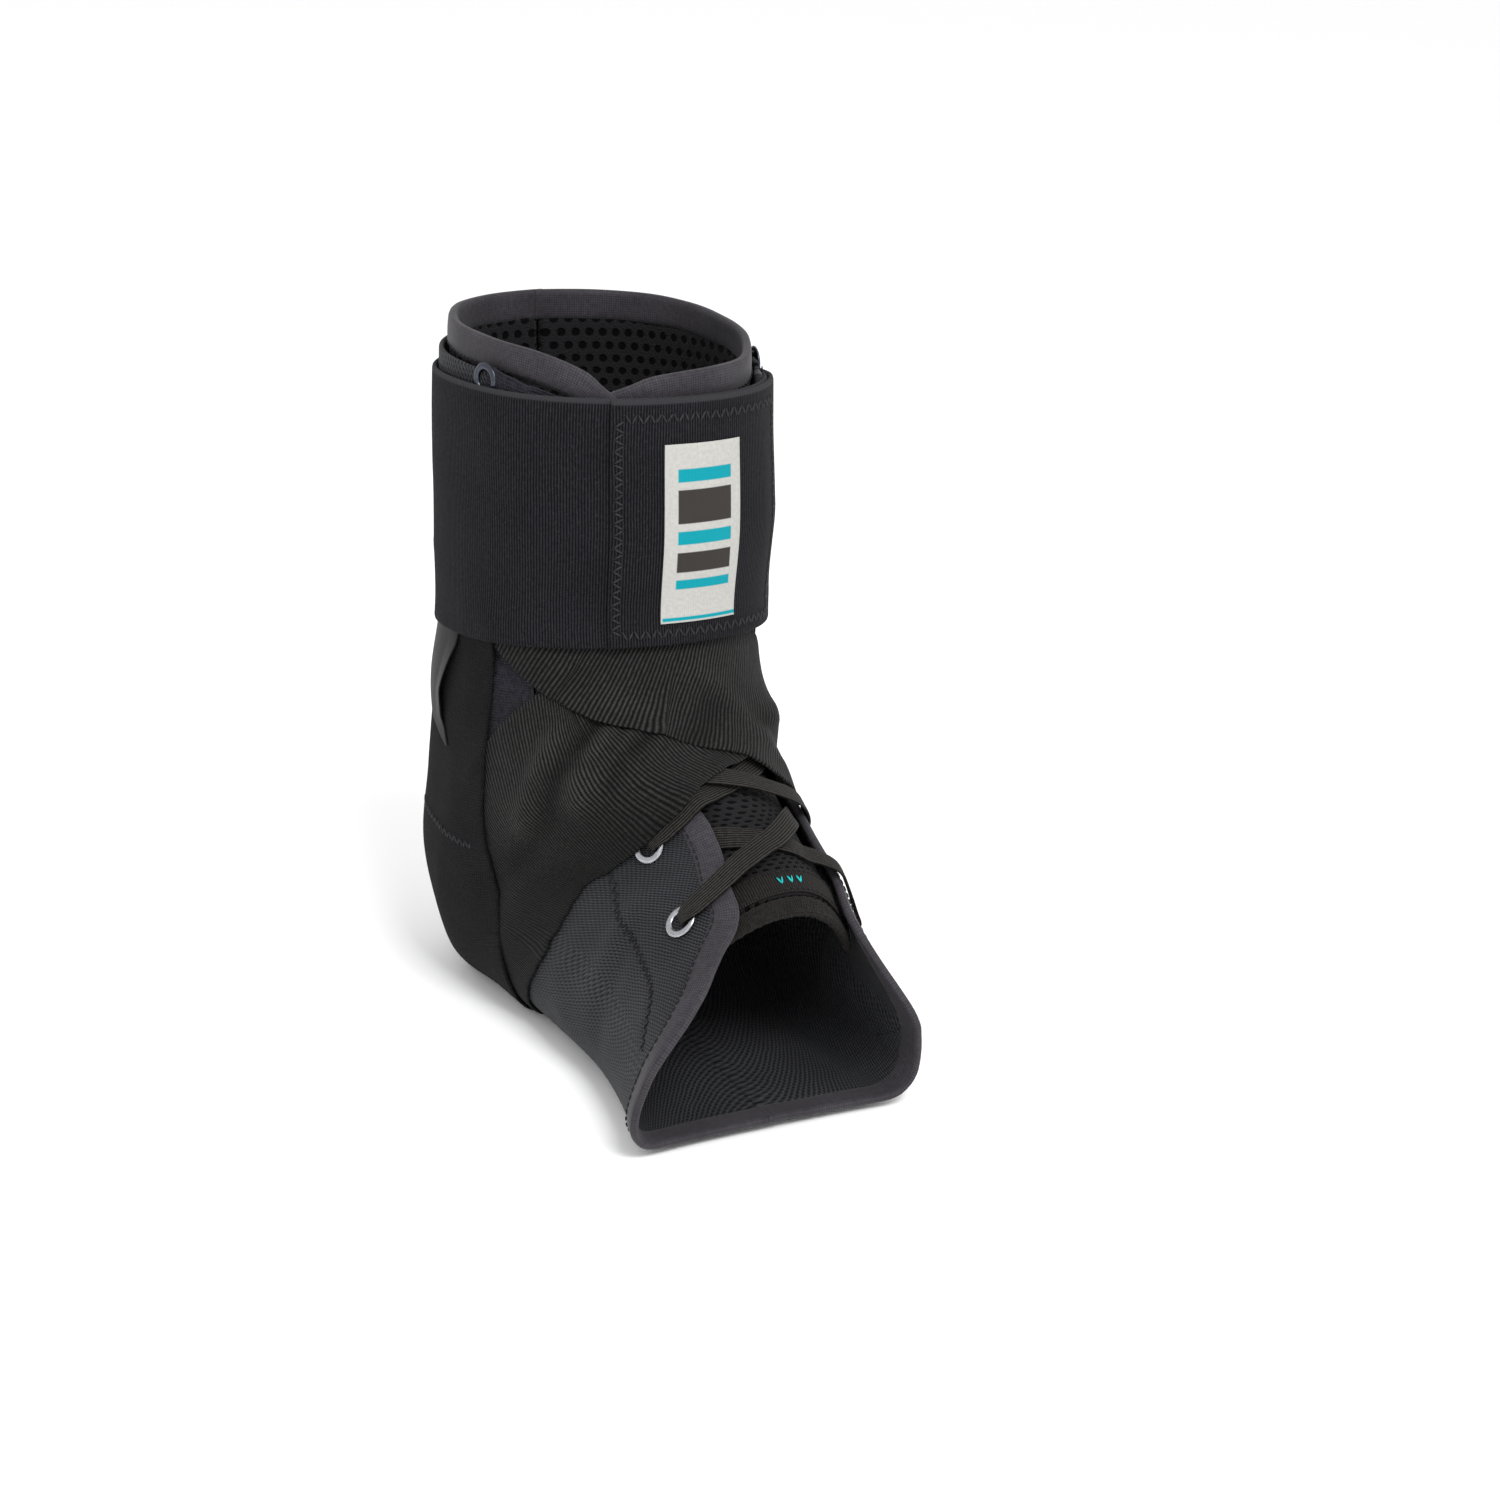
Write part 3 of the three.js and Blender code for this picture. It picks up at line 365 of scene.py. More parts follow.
def cloth(name, grid, base, thickness, finish, puff=0.0, tone=None):
    """Closed mesh of a piece whose lower face lies at the given heights.

    Puff makes its middle fatter, and tone is a lightness painted on each place, for painted shade and
    highlight, kept as an attribute.
    """
    reach = np.minimum(grid["to_side"], grid["to_end"]) / grid["edge"]
    full = np.sqrt(np.maximum(1 - (1 - np.clip(reach, 0, 1)) ** 2, 0))
    middle = base + thickness / 2
    swell = puff * np.sqrt(np.clip(np.minimum(grid["to_side"], grid["to_end"]) / 4, 0, 1))
    upper = place(grid["along"], grid["around"], middle + full * (thickness / 2 + swell))
    lower = place(grid["along"], grid["around"], middle - full * thickness / 2)
    rows, columns = reach.shape
    top = np.arange(rows * columns).reshape(rows, columns)
    rim = np.zeros((rows, columns), bool)
    rim[:, [0, -1]] = True
    rim[[0, -1]] = True
    bottom = np.where(rim, top, top + rows * columns)
    faces = []
    for index, flip in ((top, False), (bottom, True)):
        a, b, c, d = index[:-1, :-1], index[:-1, 1:], index[1:, 1:], index[1:, :-1]
        quads = np.stack([a, b, c, d] if not flip else [a, d, c, b], -1).reshape(-1, 4)
        faces.append(quads)
    faces = np.concatenate(faces)
    points = np.concatenate([upper.reshape(-1, 3), lower.reshape(-1, 3)])
    uv = np.tile(np.stack([grid["u"], grid["v"]], -1).reshape(-1, 2), (2, 1))
    used, packed = np.unique(faces, return_inverse=True)
    mesh = bpy.data.meshes.new(name)
    mesh.from_pydata(points[used].tolist(), [], packed.reshape(-1, 4).tolist())
    layer = mesh.uv_layers.new(name="weave")
    corner_uv = uv[used][packed.reshape(-1)]
    layer.data.foreach_set("uv", corner_uv.astype(np.float32).ravel())
    if tone is not None:
        values = mesh.attributes.new("tone", "FLOAT", "POINT")
        values.data.foreach_set("value", np.tile(tone.reshape(-1), 2)[used].astype(np.float32))
    mesh.shade_smooth()
    piece = link(name, mesh)
    outward = directions(grid["along"][1:2, 1:2], grid["around"][1:2, 1:2])[2][0, 0]
    first_up = np.array(mesh.polygons[0].normal)
    if np.dot(first_up, outward) < 0:
        mesh.flip_normals()
    mesh.materials.append(finish)
    print(name, len(mesh.polygons), "faces")
    return piece


# %% [markdown]
# ## Finishes
# The brace is nearly black all over, so its finishes differ by weave and sheen more than by
# colour. Pictures of cloth could be wrapped on the pieces, but they would bring their own light
# and wouldn't fit. So each finish is a small node tree on the piece's UV map. That map is in
# millimetres, which makes every pitch below a real size and lets a weave follow its cloth.

# %% One function for colours and one for nodes
def linear(code):
    """The sRGB hex colour that a picture shows, as the linear colour that a shader needs."""
    values = [int(code[k:k + 2], 16) / 255 for k in (1, 3, 5)]
    return tuple(v / 12.92 if v <= 0.04045 else ((v + 0.055) / 1.055) ** 2.4 for v in values) + (1,)


def add(tree, kind, inputs=(), **settings):
    """Add a node with its settings, and set or link its inputs, in their order or by name.

    An input is a value, a socket or a node, and a node stands for its first output.
    """
    made = tree.nodes.new(kind)
    for key, value in settings.items():
        setattr(made, key, value)
    for key, value in inputs.items() if isinstance(inputs, dict) else enumerate(inputs):
        if isinstance(value, bpy.types.Node):
            value = value.outputs[0]
        if isinstance(value, bpy.types.NodeSocket):
            tree.links.new(value, made.inputs[key])
        else:
            made.inputs[key].default_value = value
    return made


MATH, RANGE, NOISE, MIX = "ShaderNodeMath", "ShaderNodeMapRange", "ShaderNodeTexNoise", "ShaderNodeMix"
CLOTH_GLOSS = 0.06  # cloth reflects far less than a smooth surface, because its fibres scatter light
print("an sRGB grey of #808080 is", round(linear("#808080")[0], 3), "to the shader")


# %% Start and end of a finish
def start_finish(name, roughness, sheen=0.0, metallic=0.0):
    """A material, the function that adds its nodes, and its UV map whole and as U and V."""
    finish = bpy.data.materials.new(name)
    finish.use_nodes = True
    shader = finish.node_tree.nodes["Principled BSDF"]
    shader.inputs["Roughness"].default_value = roughness
    shader.inputs["Metallic"].default_value = metallic
    shader.inputs["Sheen Weight"].default_value = sheen
    shader.inputs["Sheen Roughness"].default_value = 0.5
    shader.inputs["Specular IOR Level"].default_value = 0.5 if metallic else CLOTH_GLOSS
    node = partial(add, finish.node_tree)
    weave = node("ShaderNodeUVMap", uv_map="weave")
    parts = node("ShaderNodeSeparateXYZ", (weave,))
    return finish, node, weave, parts.outputs[0], parts.outputs[1]


def end_finish(finish, node, colour, relief, depth_mm):
    """Link a colour and a relief to the shader. The relief is as deep as the real one."""
    shader = finish.node_tree.nodes["Principled BSDF"]
    finish.node_tree.links.new(colour.outputs[2], shader.inputs["Base Color"])
    bump = node("ShaderNodeBump", {"Height": relief, "Distance": depth_mm / 1000, "Strength": 1.0})
    finish.node_tree.links.new(bump.outputs[0], shader.inputs["Normal"])
    return finish


def wave(node, value, pitch):
    """A row of rounded ribs, 0 in the grooves and 1 on top, one for each pitch in millimetres."""
    angle = node(MATH, (value, 2 * math.pi / pitch), operation="MULTIPLY")
    return node(MATH, (node(MATH, (angle,), operation="SINE"), 0.5, 0.5), operation="MULTIPLY_ADD")


def between(share, first, second):
    """Inputs of a Mix node: a share, and two colours as hex codes or as Mix nodes made before."""
    ends = [linear(end) if isinstance(end, str) else end.outputs[2] for end in (first, second)]
    return {0: share, 6: ends[0], 7: ends[1]}


# %% [markdown]
# ## Woven tapes
# Elastic, webbing, lace and band are narrow fabrics from a needle loom. A thick weft makes the
# ribs that the eye sees, and finer threads cross them. The ribs could be modelled, but at one
# rib a millimetre that is far too many faces, so a relief in the finish draws them.

# %% Ribbed cloth
def ribbed(name, colours, pitch, depth, roughness, sheen, along_length=False, edge=None, with_painted_shade=False):
    """Cloth with ribs and cross threads, in its colours for groove, ridge and fleck."""
    finish, node, weave, u, v = start_finish(name, roughness, sheen)
    groove, ridge, fleck = colours
    run, cross = (u, v) if along_length else (v, u)
    # The ribs wander by a part of their pitch, as they do on a real loom.
    drift = node(NOISE, {"Vector": weave, "Scale": 0.12, "Detail": 3.0})
    bent = node(MATH, (drift, pitch * 0.7, run), operation="MULTIPLY_ADD")
    threads = node(MATH, (wave(node, cross, pitch * 0.62), 0.2), operation="MULTIPLY")
    relief = node(MATH, (wave(node, bent, pitch), 0.8, threads), operation="MULTIPLY_ADD")
    # Crests are lighter than grooves, and fibres and wear vary that from place to place.
    fibres = node(NOISE, {"Vector": weave, "Scale": 0.8, "Detail": 3.0})
    grain = node(RANGE, (fibres, 0.3, 0.7, 0.6, 1.25))
    patches = node(NOISE, {"Vector": weave, "Scale": 0.05, "Detail": 5.0})
    wear = node(MATH, (patches, 0.6), operation="ADD")
    crests = node(MATH, (relief, 1.5), operation="POWER")
    lit = node(MATH, (crests, grain), operation="MULTIPLY")
    shade = node(MATH, (lit, wear), operation="MULTIPLY")
    # Painted shade and highlight: the tone attribute darkens the colour in fold hollows and lightens it on
    # crests.
    if with_painted_shade:
        tone = node("ShaderNodeAttribute", attribute_name="tone").outputs["Fac"]
        shade = node(MATH, (shade, tone), operation="MULTIPLY")
    colour = node(MIX, between(shade, groove, ridge), data_type="RGBA")
    specks = node(RANGE, (node(NOISE, {"Vector": weave, "Scale": 1.3, "Detail": 2.0}), 0.6, 0.78))
    half = node(MATH, (specks, 0.5), operation="MULTIPLY")
    colour = node(MIX, between(half, colour, fleck), data_type="RGBA")
    if edge:
        low, high, selvedge = edge
        inside, outside = node(RANGE, (u, low, low + 0.5)), node(RANGE, (u, high, high - 0.5))
        middle = node(MATH, (inside, outside), operation="MULTIPLY")
        colour = node(MIX, between(middle, selvedge, colour), data_type="RGBA")
    return end_finish(finish, node, colour, relief, depth)


# %% Elastic, webbing, lace and band
# Woven elastic: rubber threads covered with cotton, woven under tension. It looks dull and
# slightly blue, with a fine rib every 0.8 mm and a smoother selvedge 0.9 mm wide.
ELASTIC_WIDTH, SELVEDGE = 76.0, 0.9
woven_elastic = ribbed("woven_elastic", ("#060608", "#27272b", "#35353b"), 0.8, 0.12, 0.9, 0.02,
                       edge=(SELVEDGE, ELASTIC_WIDTH - SELVEDGE, "#2f2f32"))
# Grosgrain webbing: filament nylon woven with a thick weft. Its strong ribs, 1.1 mm apart, shine
# a little on top, and the tone attribute paints a highlight on a fold's crest and shade in a hollow.
grosgrain = ribbed("grosgrain_webbing", ("#030303", "#353534", "#2d2d2c"), 1.1, 0.25, 0.7, 0.02, with_painted_shade=True)
# Flat lace: spun polyester, woven as a tube and pressed. Nine cords run down its 6.8 mm.
woven_lace = ribbed("woven_lace", ("#040404", "#3b3936", "#403e3a"), 0.76, 0.22, 0.7, 0.02, along_length=True)
# Woven band: plain polyester tape, dull and a little brown, with a rib every 0.9 mm.
woven_band = ribbed("woven_band", ("#0d0c0c", "#2a2826", "#302e2b"), 0.9, 0.15, 0.75, 0.03)
print("ribbed finishes:", [finish.name for finish in (woven_elastic, grosgrain, woven_lace, woven_band)])

# %% [markdown]
# ## Ballistic nylon
# The shell's cloth is thick twisted nylon in a basket weave, which reads as slanting rows of
# short bright dashes. A checker could stand in for it, but its squares are flat. Here each row
# is a rounded rib, and the dashes along it shift by half a dash from row to row.

# %% Weave of the shell
NYLON_TURN = 0.95  # turn of the weave on the quarter, in radians
WEFT_PITCH, WARP_PITCH = 1.12, 0.75  # mm, about twice the real yarn spacing, so that it shows


def ballistic(name):
    """Nylon filament yarn in a plain weave, with a ridge for each yarn and a low sheen."""
    finish, node, weave = start_finish(name, 0.6, 0.04)[:3]
    turned = node("ShaderNodeVectorRotate", {"Vector": weave, "Angle": NYLON_TURN}, rotation_type="Z_AXIS")
    x, y = node("ShaderNodeSeparateXYZ", (turned,)).outputs[:2]
    drift = node(NOISE, {"Vector": weave, "Scale": 0.2, "Detail": 3.0})
    bent = node(MATH, (y, drift), operation="ADD")
    weft = node(MATH, (wave(node, bent, WEFT_PITCH), 1.4), operation="POWER")
    row = node(MATH, (node(MATH, (y, WEFT_PITCH), operation="DIVIDE"),), operation="FLOOR")
    half_turns = node(MATH, (row, math.pi), operation="MULTIPLY")
    angle = node(MATH, (x, math.pi / WARP_PITCH, half_turns), operation="MULTIPLY_ADD")
    warp = node(MATH, (node(MATH, (angle,), operation="SINE"), 0.5, 0.5), operation="MULTIPLY_ADD")
    dashes = node(MATH, (warp, 0.35), operation="MULTIPLY")
    relief = node(MATH, (weft, 0.65, dashes), operation="MULTIPLY_ADD")
    patches = node(NOISE, {"Vector": weave, "Scale": 0.04, "Detail": 5.0})
    wear = node(MATH, (patches, 0.45), operation="ADD")
    shade = node(MATH, (relief, wear), operation="MULTIPLY")
    colour = node(MIX, between(shade, "#040405", "#3d3e42"), data_type="RGBA")
    return end_finish(finish, node, colour, relief, 0.22)


ballistic_nylon = ballistic("ballistic_nylon")
print(ballistic_nylon.name, "has rows", WEFT_PITCH, "mm apart")

# %% [markdown]
# ## Knits and brushed cloth
# Binding tape, the tongue's end and the loop fabric are knitted or raised by wire brushes, so
# they show no lines, only a soft grain. Hair particles could make the nap, but it is shorter
# than a millimetre, so a grain in colour and relief gives the same look for far less.

# %% Knitted and brushed finishes
def knitted(name, dark, light, scale, depth, roughness, sheen):
    """A knit with loops 0.7 mm wide and 0.8 mm high, under a grain of its own scale."""
    finish, node, weave, u, v = start_finish(name, roughness, sheen)
    loops = node(MATH, (wave(node, u, 0.7), wave(node, v, 0.8)), operation="MULTIPLY")
    grain = node(NOISE, {"Vector": weave, "Scale": scale, "Detail": 4.0})
    fuzz = node(MATH, (grain, 0.6), operation="MULTIPLY")
    relief = node(MATH, (loops, 0.4, fuzz), operation="MULTIPLY_ADD")
    patches = node(NOISE, {"Vector": weave, "Scale": 0.06, "Detail": 4.0})
    wear = node(MATH, (patches, 0.4), operation="ADD")
    shade = node(MATH, (relief, wear), operation="MULTIPLY")
    colour = node(MIX, between(shade, dark, light), data_type="RGBA")
    return end_finish(finish, node, colour, relief, depth)


# Jersey binding: nylon jersey, slit, folded over the edge and sewn. It is the smoothest and
# palest cloth of the brace. Its real loops are half as wide and are drawn coarser to show.
jersey_binding = knitted("jersey_binding", "#1b1a1c", "#4d4a50", 0.7, 0.06, 0.5, 0.06)
# Rough knit: textured polyester yarn over the tongue's end, lumpy and dull.
rough_knit = knitted("rough_knit", "#040404", "#353330", 0.7, 0.9, 0.9, 0.03)
# Brushed loops: knitted nylon loops that hooks grip. They swallow light and look slightly blue.
loop_fabric = knitted("brushed_loops", "#020202", "#403f48", 0.6, 0.9, 0.95, 0.02)
# Brushed webbing: the strap's free end, raised by a wire brush until the nap hides its ribs.
brushed_webbing = knitted("brushed_webbing", "#030303", "#232325", 0.8, 0.35, 0.95, 0.02)
print("knits:", [finish.name for finish in (jersey_binding, rough_knit, loop_fabric, brushed_webbing)])

# %% [markdown]
# ## Spacer mesh
# The lining is a thick open knit: two net faces with upright yarns between them. Cutting its
# holes would take tens of thousands of faces that only a close view shows, so the finish draws
# staggered oval hollows with soft rims, painted near-black inside as painted shade.

# %% Spacer mesh
HOLE_COLUMN, HOLE_ROW = 4.2, 3.5  # mm from hole to hole, across and down


def spacer(name):
    """Warp-knitted polyester: dull yarn round staggered holes, painted near-black inside as painted shade."""
    finish, node, weave, u, v = start_finish(name, 0.75, 0.03)
    row = node(MATH, (node(MATH, (v, HOLE_ROW), operation="DIVIDE"),), operation="FLOOR")
    counted = node(MATH, (node(MATH, (row,), operation="ABSOLUTE"), 2.0), operation="MODULO")
    stagger = node(MATH, (counted, 0.5), operation="MULTIPLY")
    shifted = node(MATH, (node(MATH, (u, HOLE_COLUMN), operation="DIVIDE"), stagger), operation="ADD")
    # Distance from the middle of the nearest hole, as a share of the hole's own oval
    squares = []
    for place_in_row, size in ((shifted, HOLE_COLUMN / 1.3),
                               (node(MATH, (v, HOLE_ROW), operation="DIVIDE"), HOLE_ROW / 1.05)):
        share = node(MATH, (place_in_row,), operation="FRACT")
        from_middle = node(MATH, (node(MATH, (share, 0.5), operation="SUBTRACT"), size), operation="MULTIPLY")
        squares.append(node(MATH, (from_middle, from_middle), operation="MULTIPLY"))
    distance = node(MATH, (node(MATH, squares, operation="ADD"),), operation="SQRT")
    solid = node(RANGE, (distance, 0.75, 1.2), interpolation_type="SMOOTHSTEP")
    grain = node(NOISE, {"Vector": weave, "Scale": 1.8, "Detail": 3.0})
    fibres = node(MATH, (grain, 0.6, 0.5), operation="MULTIPLY_ADD")
    yarn = node(MATH, (solid, fibres), operation="MULTIPLY")
    # Painted shade: the holes get a near-black colour, for the shade inside them.
    colour = node(MIX, between(yarn, "#010101", "#212022"), data_type="RGBA")
    return end_finish(finish, node, colour, yarn, 0.9)


spacer_mesh = spacer("spacer_mesh")
print(spacer_mesh.name, "has a hole every", HOLE_COLUMN, "by", HOLE_ROW, "mm")

# %% [markdown]
# ## Label and tag
# Both are satin ribbon. The label's pattern is woven in, so it is drawn in the finish and not
# laid on as pieces. It has no words: plain bars in the brace's two accent colours fill it.

# %% Satin in plain bars
def banded(name, bars, ground, roughness, depth, pitch):
    """Satin with bars, given as rows of start and end along V, then along U, and a colour."""
    finish, node, weave, u, v = start_finish(name, roughness)
    picks = node(MATH, (wave(node, v, pitch * 0.8), 0.5), operation="MULTIPLY")
    relief = node(MATH, (wave(node, u, pitch), 0.5, picks), operation="MULTIPLY_ADD")
    grain = node(NOISE, {"Vector": weave, "Scale": 0.9, "Detail": 3.0})
    colour = node(MIX, between(grain, *ground), data_type="RGBA")
    for v0, v1, u0, u1, tone in bars:
        share = None
        for value, low, high in ((v, v0, v1), (u, u0, u1)):
            inside = node(RANGE, (value, low, low + 0.25))
            outside = node(RANGE, (value, high, high - 0.25))
            both = node(MATH, (inside, outside), operation="MULTIPLY")
            share = both if share is None else node(MATH, (share, both), operation="MULTIPLY")
        colour = node(MIX, between(share, colour, tone), data_type="RGBA")
    return end_finish(finish, node, colour, relief, depth)


# Woven label: silver-grey polyester satin from a damask loom. Its long floats give a soft shine,
# and its threads, 0.5 mm apart here, are drawn coarser than the real ones so that they show.
TEAL, CHARCOAL = "#0c8793", "#34312f"
label_bars = [
    (7, 11, 3.5, 20.5, TEAL), (13, 23, 3.5, 20.5, CHARCOAL), (25, 29, 3.5, 20.5, TEAL),
    (31, 37, 3.5, 20.5, CHARCOAL), (39, 42, 3.5, 20.5, TEAL), (50.6, 52.0, 0.3, 24.2, TEAL),
]
woven_label = banded("woven_label", label_bars, ("#9b9a96", "#b6b5b1"), 0.45, 0.05, 0.5)
# Satin tag: bare black polyester ribbon, smooth, with a slight shine.
satin_tag = banded("satin_tag", [], ("#0e0e0f", "#1d1d1f"), 0.45, 0.04, 0.45)
print(woven_label.name, "has", len(label_bars), "bars")

# %% [markdown]
# ## Thread and metal
# Both are small and round, so their shape does most of the work. A UV map would be wasted on
# them, so a fine noise on Object coordinates gives the twist of a thread and the scratches of
# a plated ring. Its scales are turns in a metre: 900 is about 1.1 mm and 1400 about 0.7 mm.

# %% Thread and plated rings
def fine_noise(node, scale, detail):
    """The noise on Object coordinates that both finishes start from."""
    coordinates = node("ShaderNodeTexCoord").outputs["Object"]
    return node(NOISE, {"Vector": coordinates, "Scale": scale, "Detail": detail})


def thread(name, dark, light):
    """Bonded polyester sewing thread: twisted, waxed and so a little shiny."""
    finish, node = start_finish(name, 0.45, 0.02)[:2]
    twist = fine_noise(node, 900.0, 2.0)
    colour = node(MIX, between(twist, dark, light), data_type="RGBA")
    return end_finish(finish, node, colour, twist, 0.05)


def plated(name, dark, light):
    """Metal plate on pressed brass: bright, but softened by fine scratches from handling."""
    finish, node = start_finish(name, 0.3, metallic=1.0)[:2]
    scratches = fine_noise(node, 1400.0, 4.0)
    roughness = node(RANGE, {0: scratches, 3: 0.22, 4: 0.4})
    shader = finish.node_tree.nodes["Principled BSDF"]
    finish.node_tree.links.new(roughness.outputs[0], shader.inputs["Roughness"])
    colour = node(MIX, between(scratches, dark, light), data_type="RGBA")
    return end_finish(finish, node, colour, scratches, 0.01)


# The same bonded polyester in three dyes: nearly hidden, just visible on the cuff, and an accent.
black_thread = thread("black_thread", "#0b0b0c", "#2c2b2e")
charcoal_thread = thread("charcoal_thread", "#18181a", "#3b3a3e")
teal_thread = thread("teal_thread", "#0c8e93", "#2ac9c4")
# Nickel plate: silvery and slightly warm, on all eyelets but the top pair.
nickel_plate = plated("nickel_plate", "#838489", "#bbbcc0")
# Nickel with painted shade: the top pair is the same nickel plate, painted darker and blue-grey for the shade
# it lies in.
nickel_with_painted_shade = plated("nickel_with_painted_shade", "#2c2f36", "#565a64")
print(len(bpy.data.materials), "materials so far")

# %% [markdown]
# ## The two quarters and their binding
# The shell is two panels of ballistic nylon that meet at the back and under the sole. Each has a
# bound edge that runs down the lacing and round the toe opening. One body cut in two by a plane
# would be quick, but its weave and its edge wouldn't follow the panel. So each panel is a grid
# between its bound edge and the line at the back, and the binding is a strip along that edge.

# %% Edges of the quarters
# Share of the shell's length, then degrees on the outer and on the inner side
LACING = np.array([[0.14, 55, -56], [0.25, 51, -54], [0.363, 45, -52], [0.47, 32, -48],
                   [0.56, 18, -43], [0.67, 20, -41], [0.76, 23, -45], [0.815, 22, -47]])
TOE_EDGE = np.array([[0.845, 26, -51], [0.868, 33, -57], [0.888, 38, -63], [0.911, 44, -70],
                      [0.931, 55, -79], [0.942, 70, -90], [0.946, 85, -102], [0.95, 100, -118],
                      [0.952, 140, -148]])
QUARTER_TOP, CORNER_DROP, QUARTER_THICKNESS = 19.0, 6.0, 1.5  # mm
BINDING_WIDTH, BINDING_THICKNESS, BINDING_INSIDE, BINDING_LAP = 8.0, 2.3, -1.7, 0.9  # mm
SEAM_LAP = 0.25  # degrees that each side reaches past the middle of the back and the sole
SIDES = {"outer": 1, "inner": -1}


def edge_rows(table, side):
    """One side's places from a table with both."""
    return np.stack([table[:, 0] * SHELL_LENGTH, table[:, 1 if side == "outer" else 2]], -1)


def bound_edge(side, count=320):
    """The edge of a quarter, down the lacing and round the toe opening to the sole's middle."""
    lacing, toes = edge_rows(LACING, side), edge_rows(TOE_EDGE, side)
    sense = SIDES[side]
    top = [[QUARTER_TOP + CORNER_DROP, lacing[0, 1] + sense]]
    return smooth_line(np.vstack([top, lacing, toes, [[toes[-1, 0], sense * (180 + SEAM_LAP)]]]), count)


def near_line(grid, line, width):
    """How near each place of a grid is to a line: 1 on it, 0 beyond a width in millimetres."""
    flat = np.stack([grid["along"], grid["around"] * DEGREE], -1)
    points = resample(line, np.arange(0, line_lengths(line)[-1], 1.5)) * (1, DEGREE)
    distance = np.full(grid["along"].shape, 1e3)
    for point in points:
        distance = np.minimum(distance, np.hypot(flat[..., 0] - point[0], flat[..., 1] - point[1]))
    return np.exp(-(distance / width) ** 2)


def folds(grid, table):
    """Long soft folds and dents: along and around of both ends, width and height of each."""
    total = np.zeros(grid["along"].shape)
    for s0, v0, s1, v1, width, height in table:
        p = np.stack([grid["along"] - s0, (grid["around"] - v0) * DEGREE], -1)
        d = np.array([s1 - s0, (v1 - v0) * DEGREE])
        t = (p @ d) / (d @ d)
        side = np.abs(p[..., 0] * d[1] - p[..., 1] * d[0]) / np.hypot(*d)
        taper = np.clip(np.minimum(t + 0.15, 1.15 - t) / 0.45, 0, 1)
        total += height * np.exp(-(side / width) ** 2) * taper * taper * (3 - 2 * taper)
    return total


print("the outer bound edge is", round(float(line_lengths(bound_edge("outer"))[-1])), "mm long")

# %% Seams, folds and the two panels
SEAM = {"outer": [[112, 62], [150, 62], [193.7, 60], [216, 68],
                  [233.5, 70], [242.8, 71], [258, 73], [274, 86]],
        "inner": [[112, -66], [150, -72], [193.7, -76], [216, -80],
                  [233.5, -84], [246, -88], [262, -96], [276, -104]]}
SEAM_DEPTH, SEAM_SPREAD = 0.35, 1.4  # mm that a seam pulls the cloth in, and how far that reaches
seams = {side: smooth_line(rows, 160) for side, rows in SEAM.items()}
QUARTER_FOLDS = {
    "outer": [(212, 52, 236, 96, 4, 0.7), (226, 60, 252, 110, 4, -0.6), (205, 75, 240, 125, 5, 0.6)],
    "inner": [(212, -62, 240, -104, 4, 0.7), (228, -72, 255, -115, 4, -0.6)],
}
UNDERLAP = {"outer": 0.0, "inner": 0.35}  # mm that a side dips where it lies under the other
UNDERLAP_SPREAD = 3.0  # degrees


def under_the_lap(side, around):
    """How far a side dips near the middle of the back and the sole."""
    return UNDERLAP[side] * np.exp(-((180 - np.abs(around)) / UNDERLAP_SPREAD) ** 2)


pieces = {}
for side, sense in SIDES.items():
    edge = bound_edge(side)
    inner_edge = offset_line(edge, sense * (BINDING_WIDTH - BINDING_LAP))
    inner_edge = inner_edge[np.abs(inner_edge[:, 1]) < 179]
    corner = [inner_edge[-1, 0], sense * (180 + SEAM_LAP)]
    inner_edge = np.vstack([inner_edge, corner])
    share = line_lengths(inner_edge) / line_lengths(inner_edge)[-1]
    end = corner[0] - 0.8
    spine = np.stack([QUARTER_TOP + share * (end - QUARTER_TOP), np.full(len(share), corner[1])], -1)
    inner_edge[0, 0] = QUARTER_TOP + 4
    grid = patch(inner_edge, spine, 1.5, 0.7)
    wavy = folds(grid, QUARTER_FOLDS[side]) - SEAM_DEPTH * near_line(grid, seams[side], SEAM_SPREAD)
    wavy -= under_the_lap(side, grid["around"])
    grid["u"], grid["v"] = grid["around"] * DEGREE, grid["along"] * 1.0
    name = f"quarter_{side}_cloth"
    pieces[name] = cloth(name, grid, wavy - QUARTER_THICKNESS, QUARTER_THICKNESS, ballistic_nylon)
    draw_on_map(heights, grid["along"], grid["around"], wavy)
    strip = patch(edge, offset_line(edge, sense * BINDING_WIDTH), 1.6, 1.3)
    name = f"binding_{side}_tape"
    base = BINDING_INSIDE - under_the_lap(side, strip["around"])
    pieces[name] = cloth(name, strip, base, BINDING_THICKNESS, jersey_binding, puff=0.15)
    draw_on_map(heights, strip["along"], strip["around"], np.full(strip["u"].shape, 0.7))

quarter_map = blur(heights, 0.8, 1)

# %% [markdown]
# ## Loop fabric
# Patches of brushed loops are sewn where hooks have to grip. Thousands of hair strands could make
# the loops, but only the edges of the patches show, so each is a thin cloth with a lumpy top.

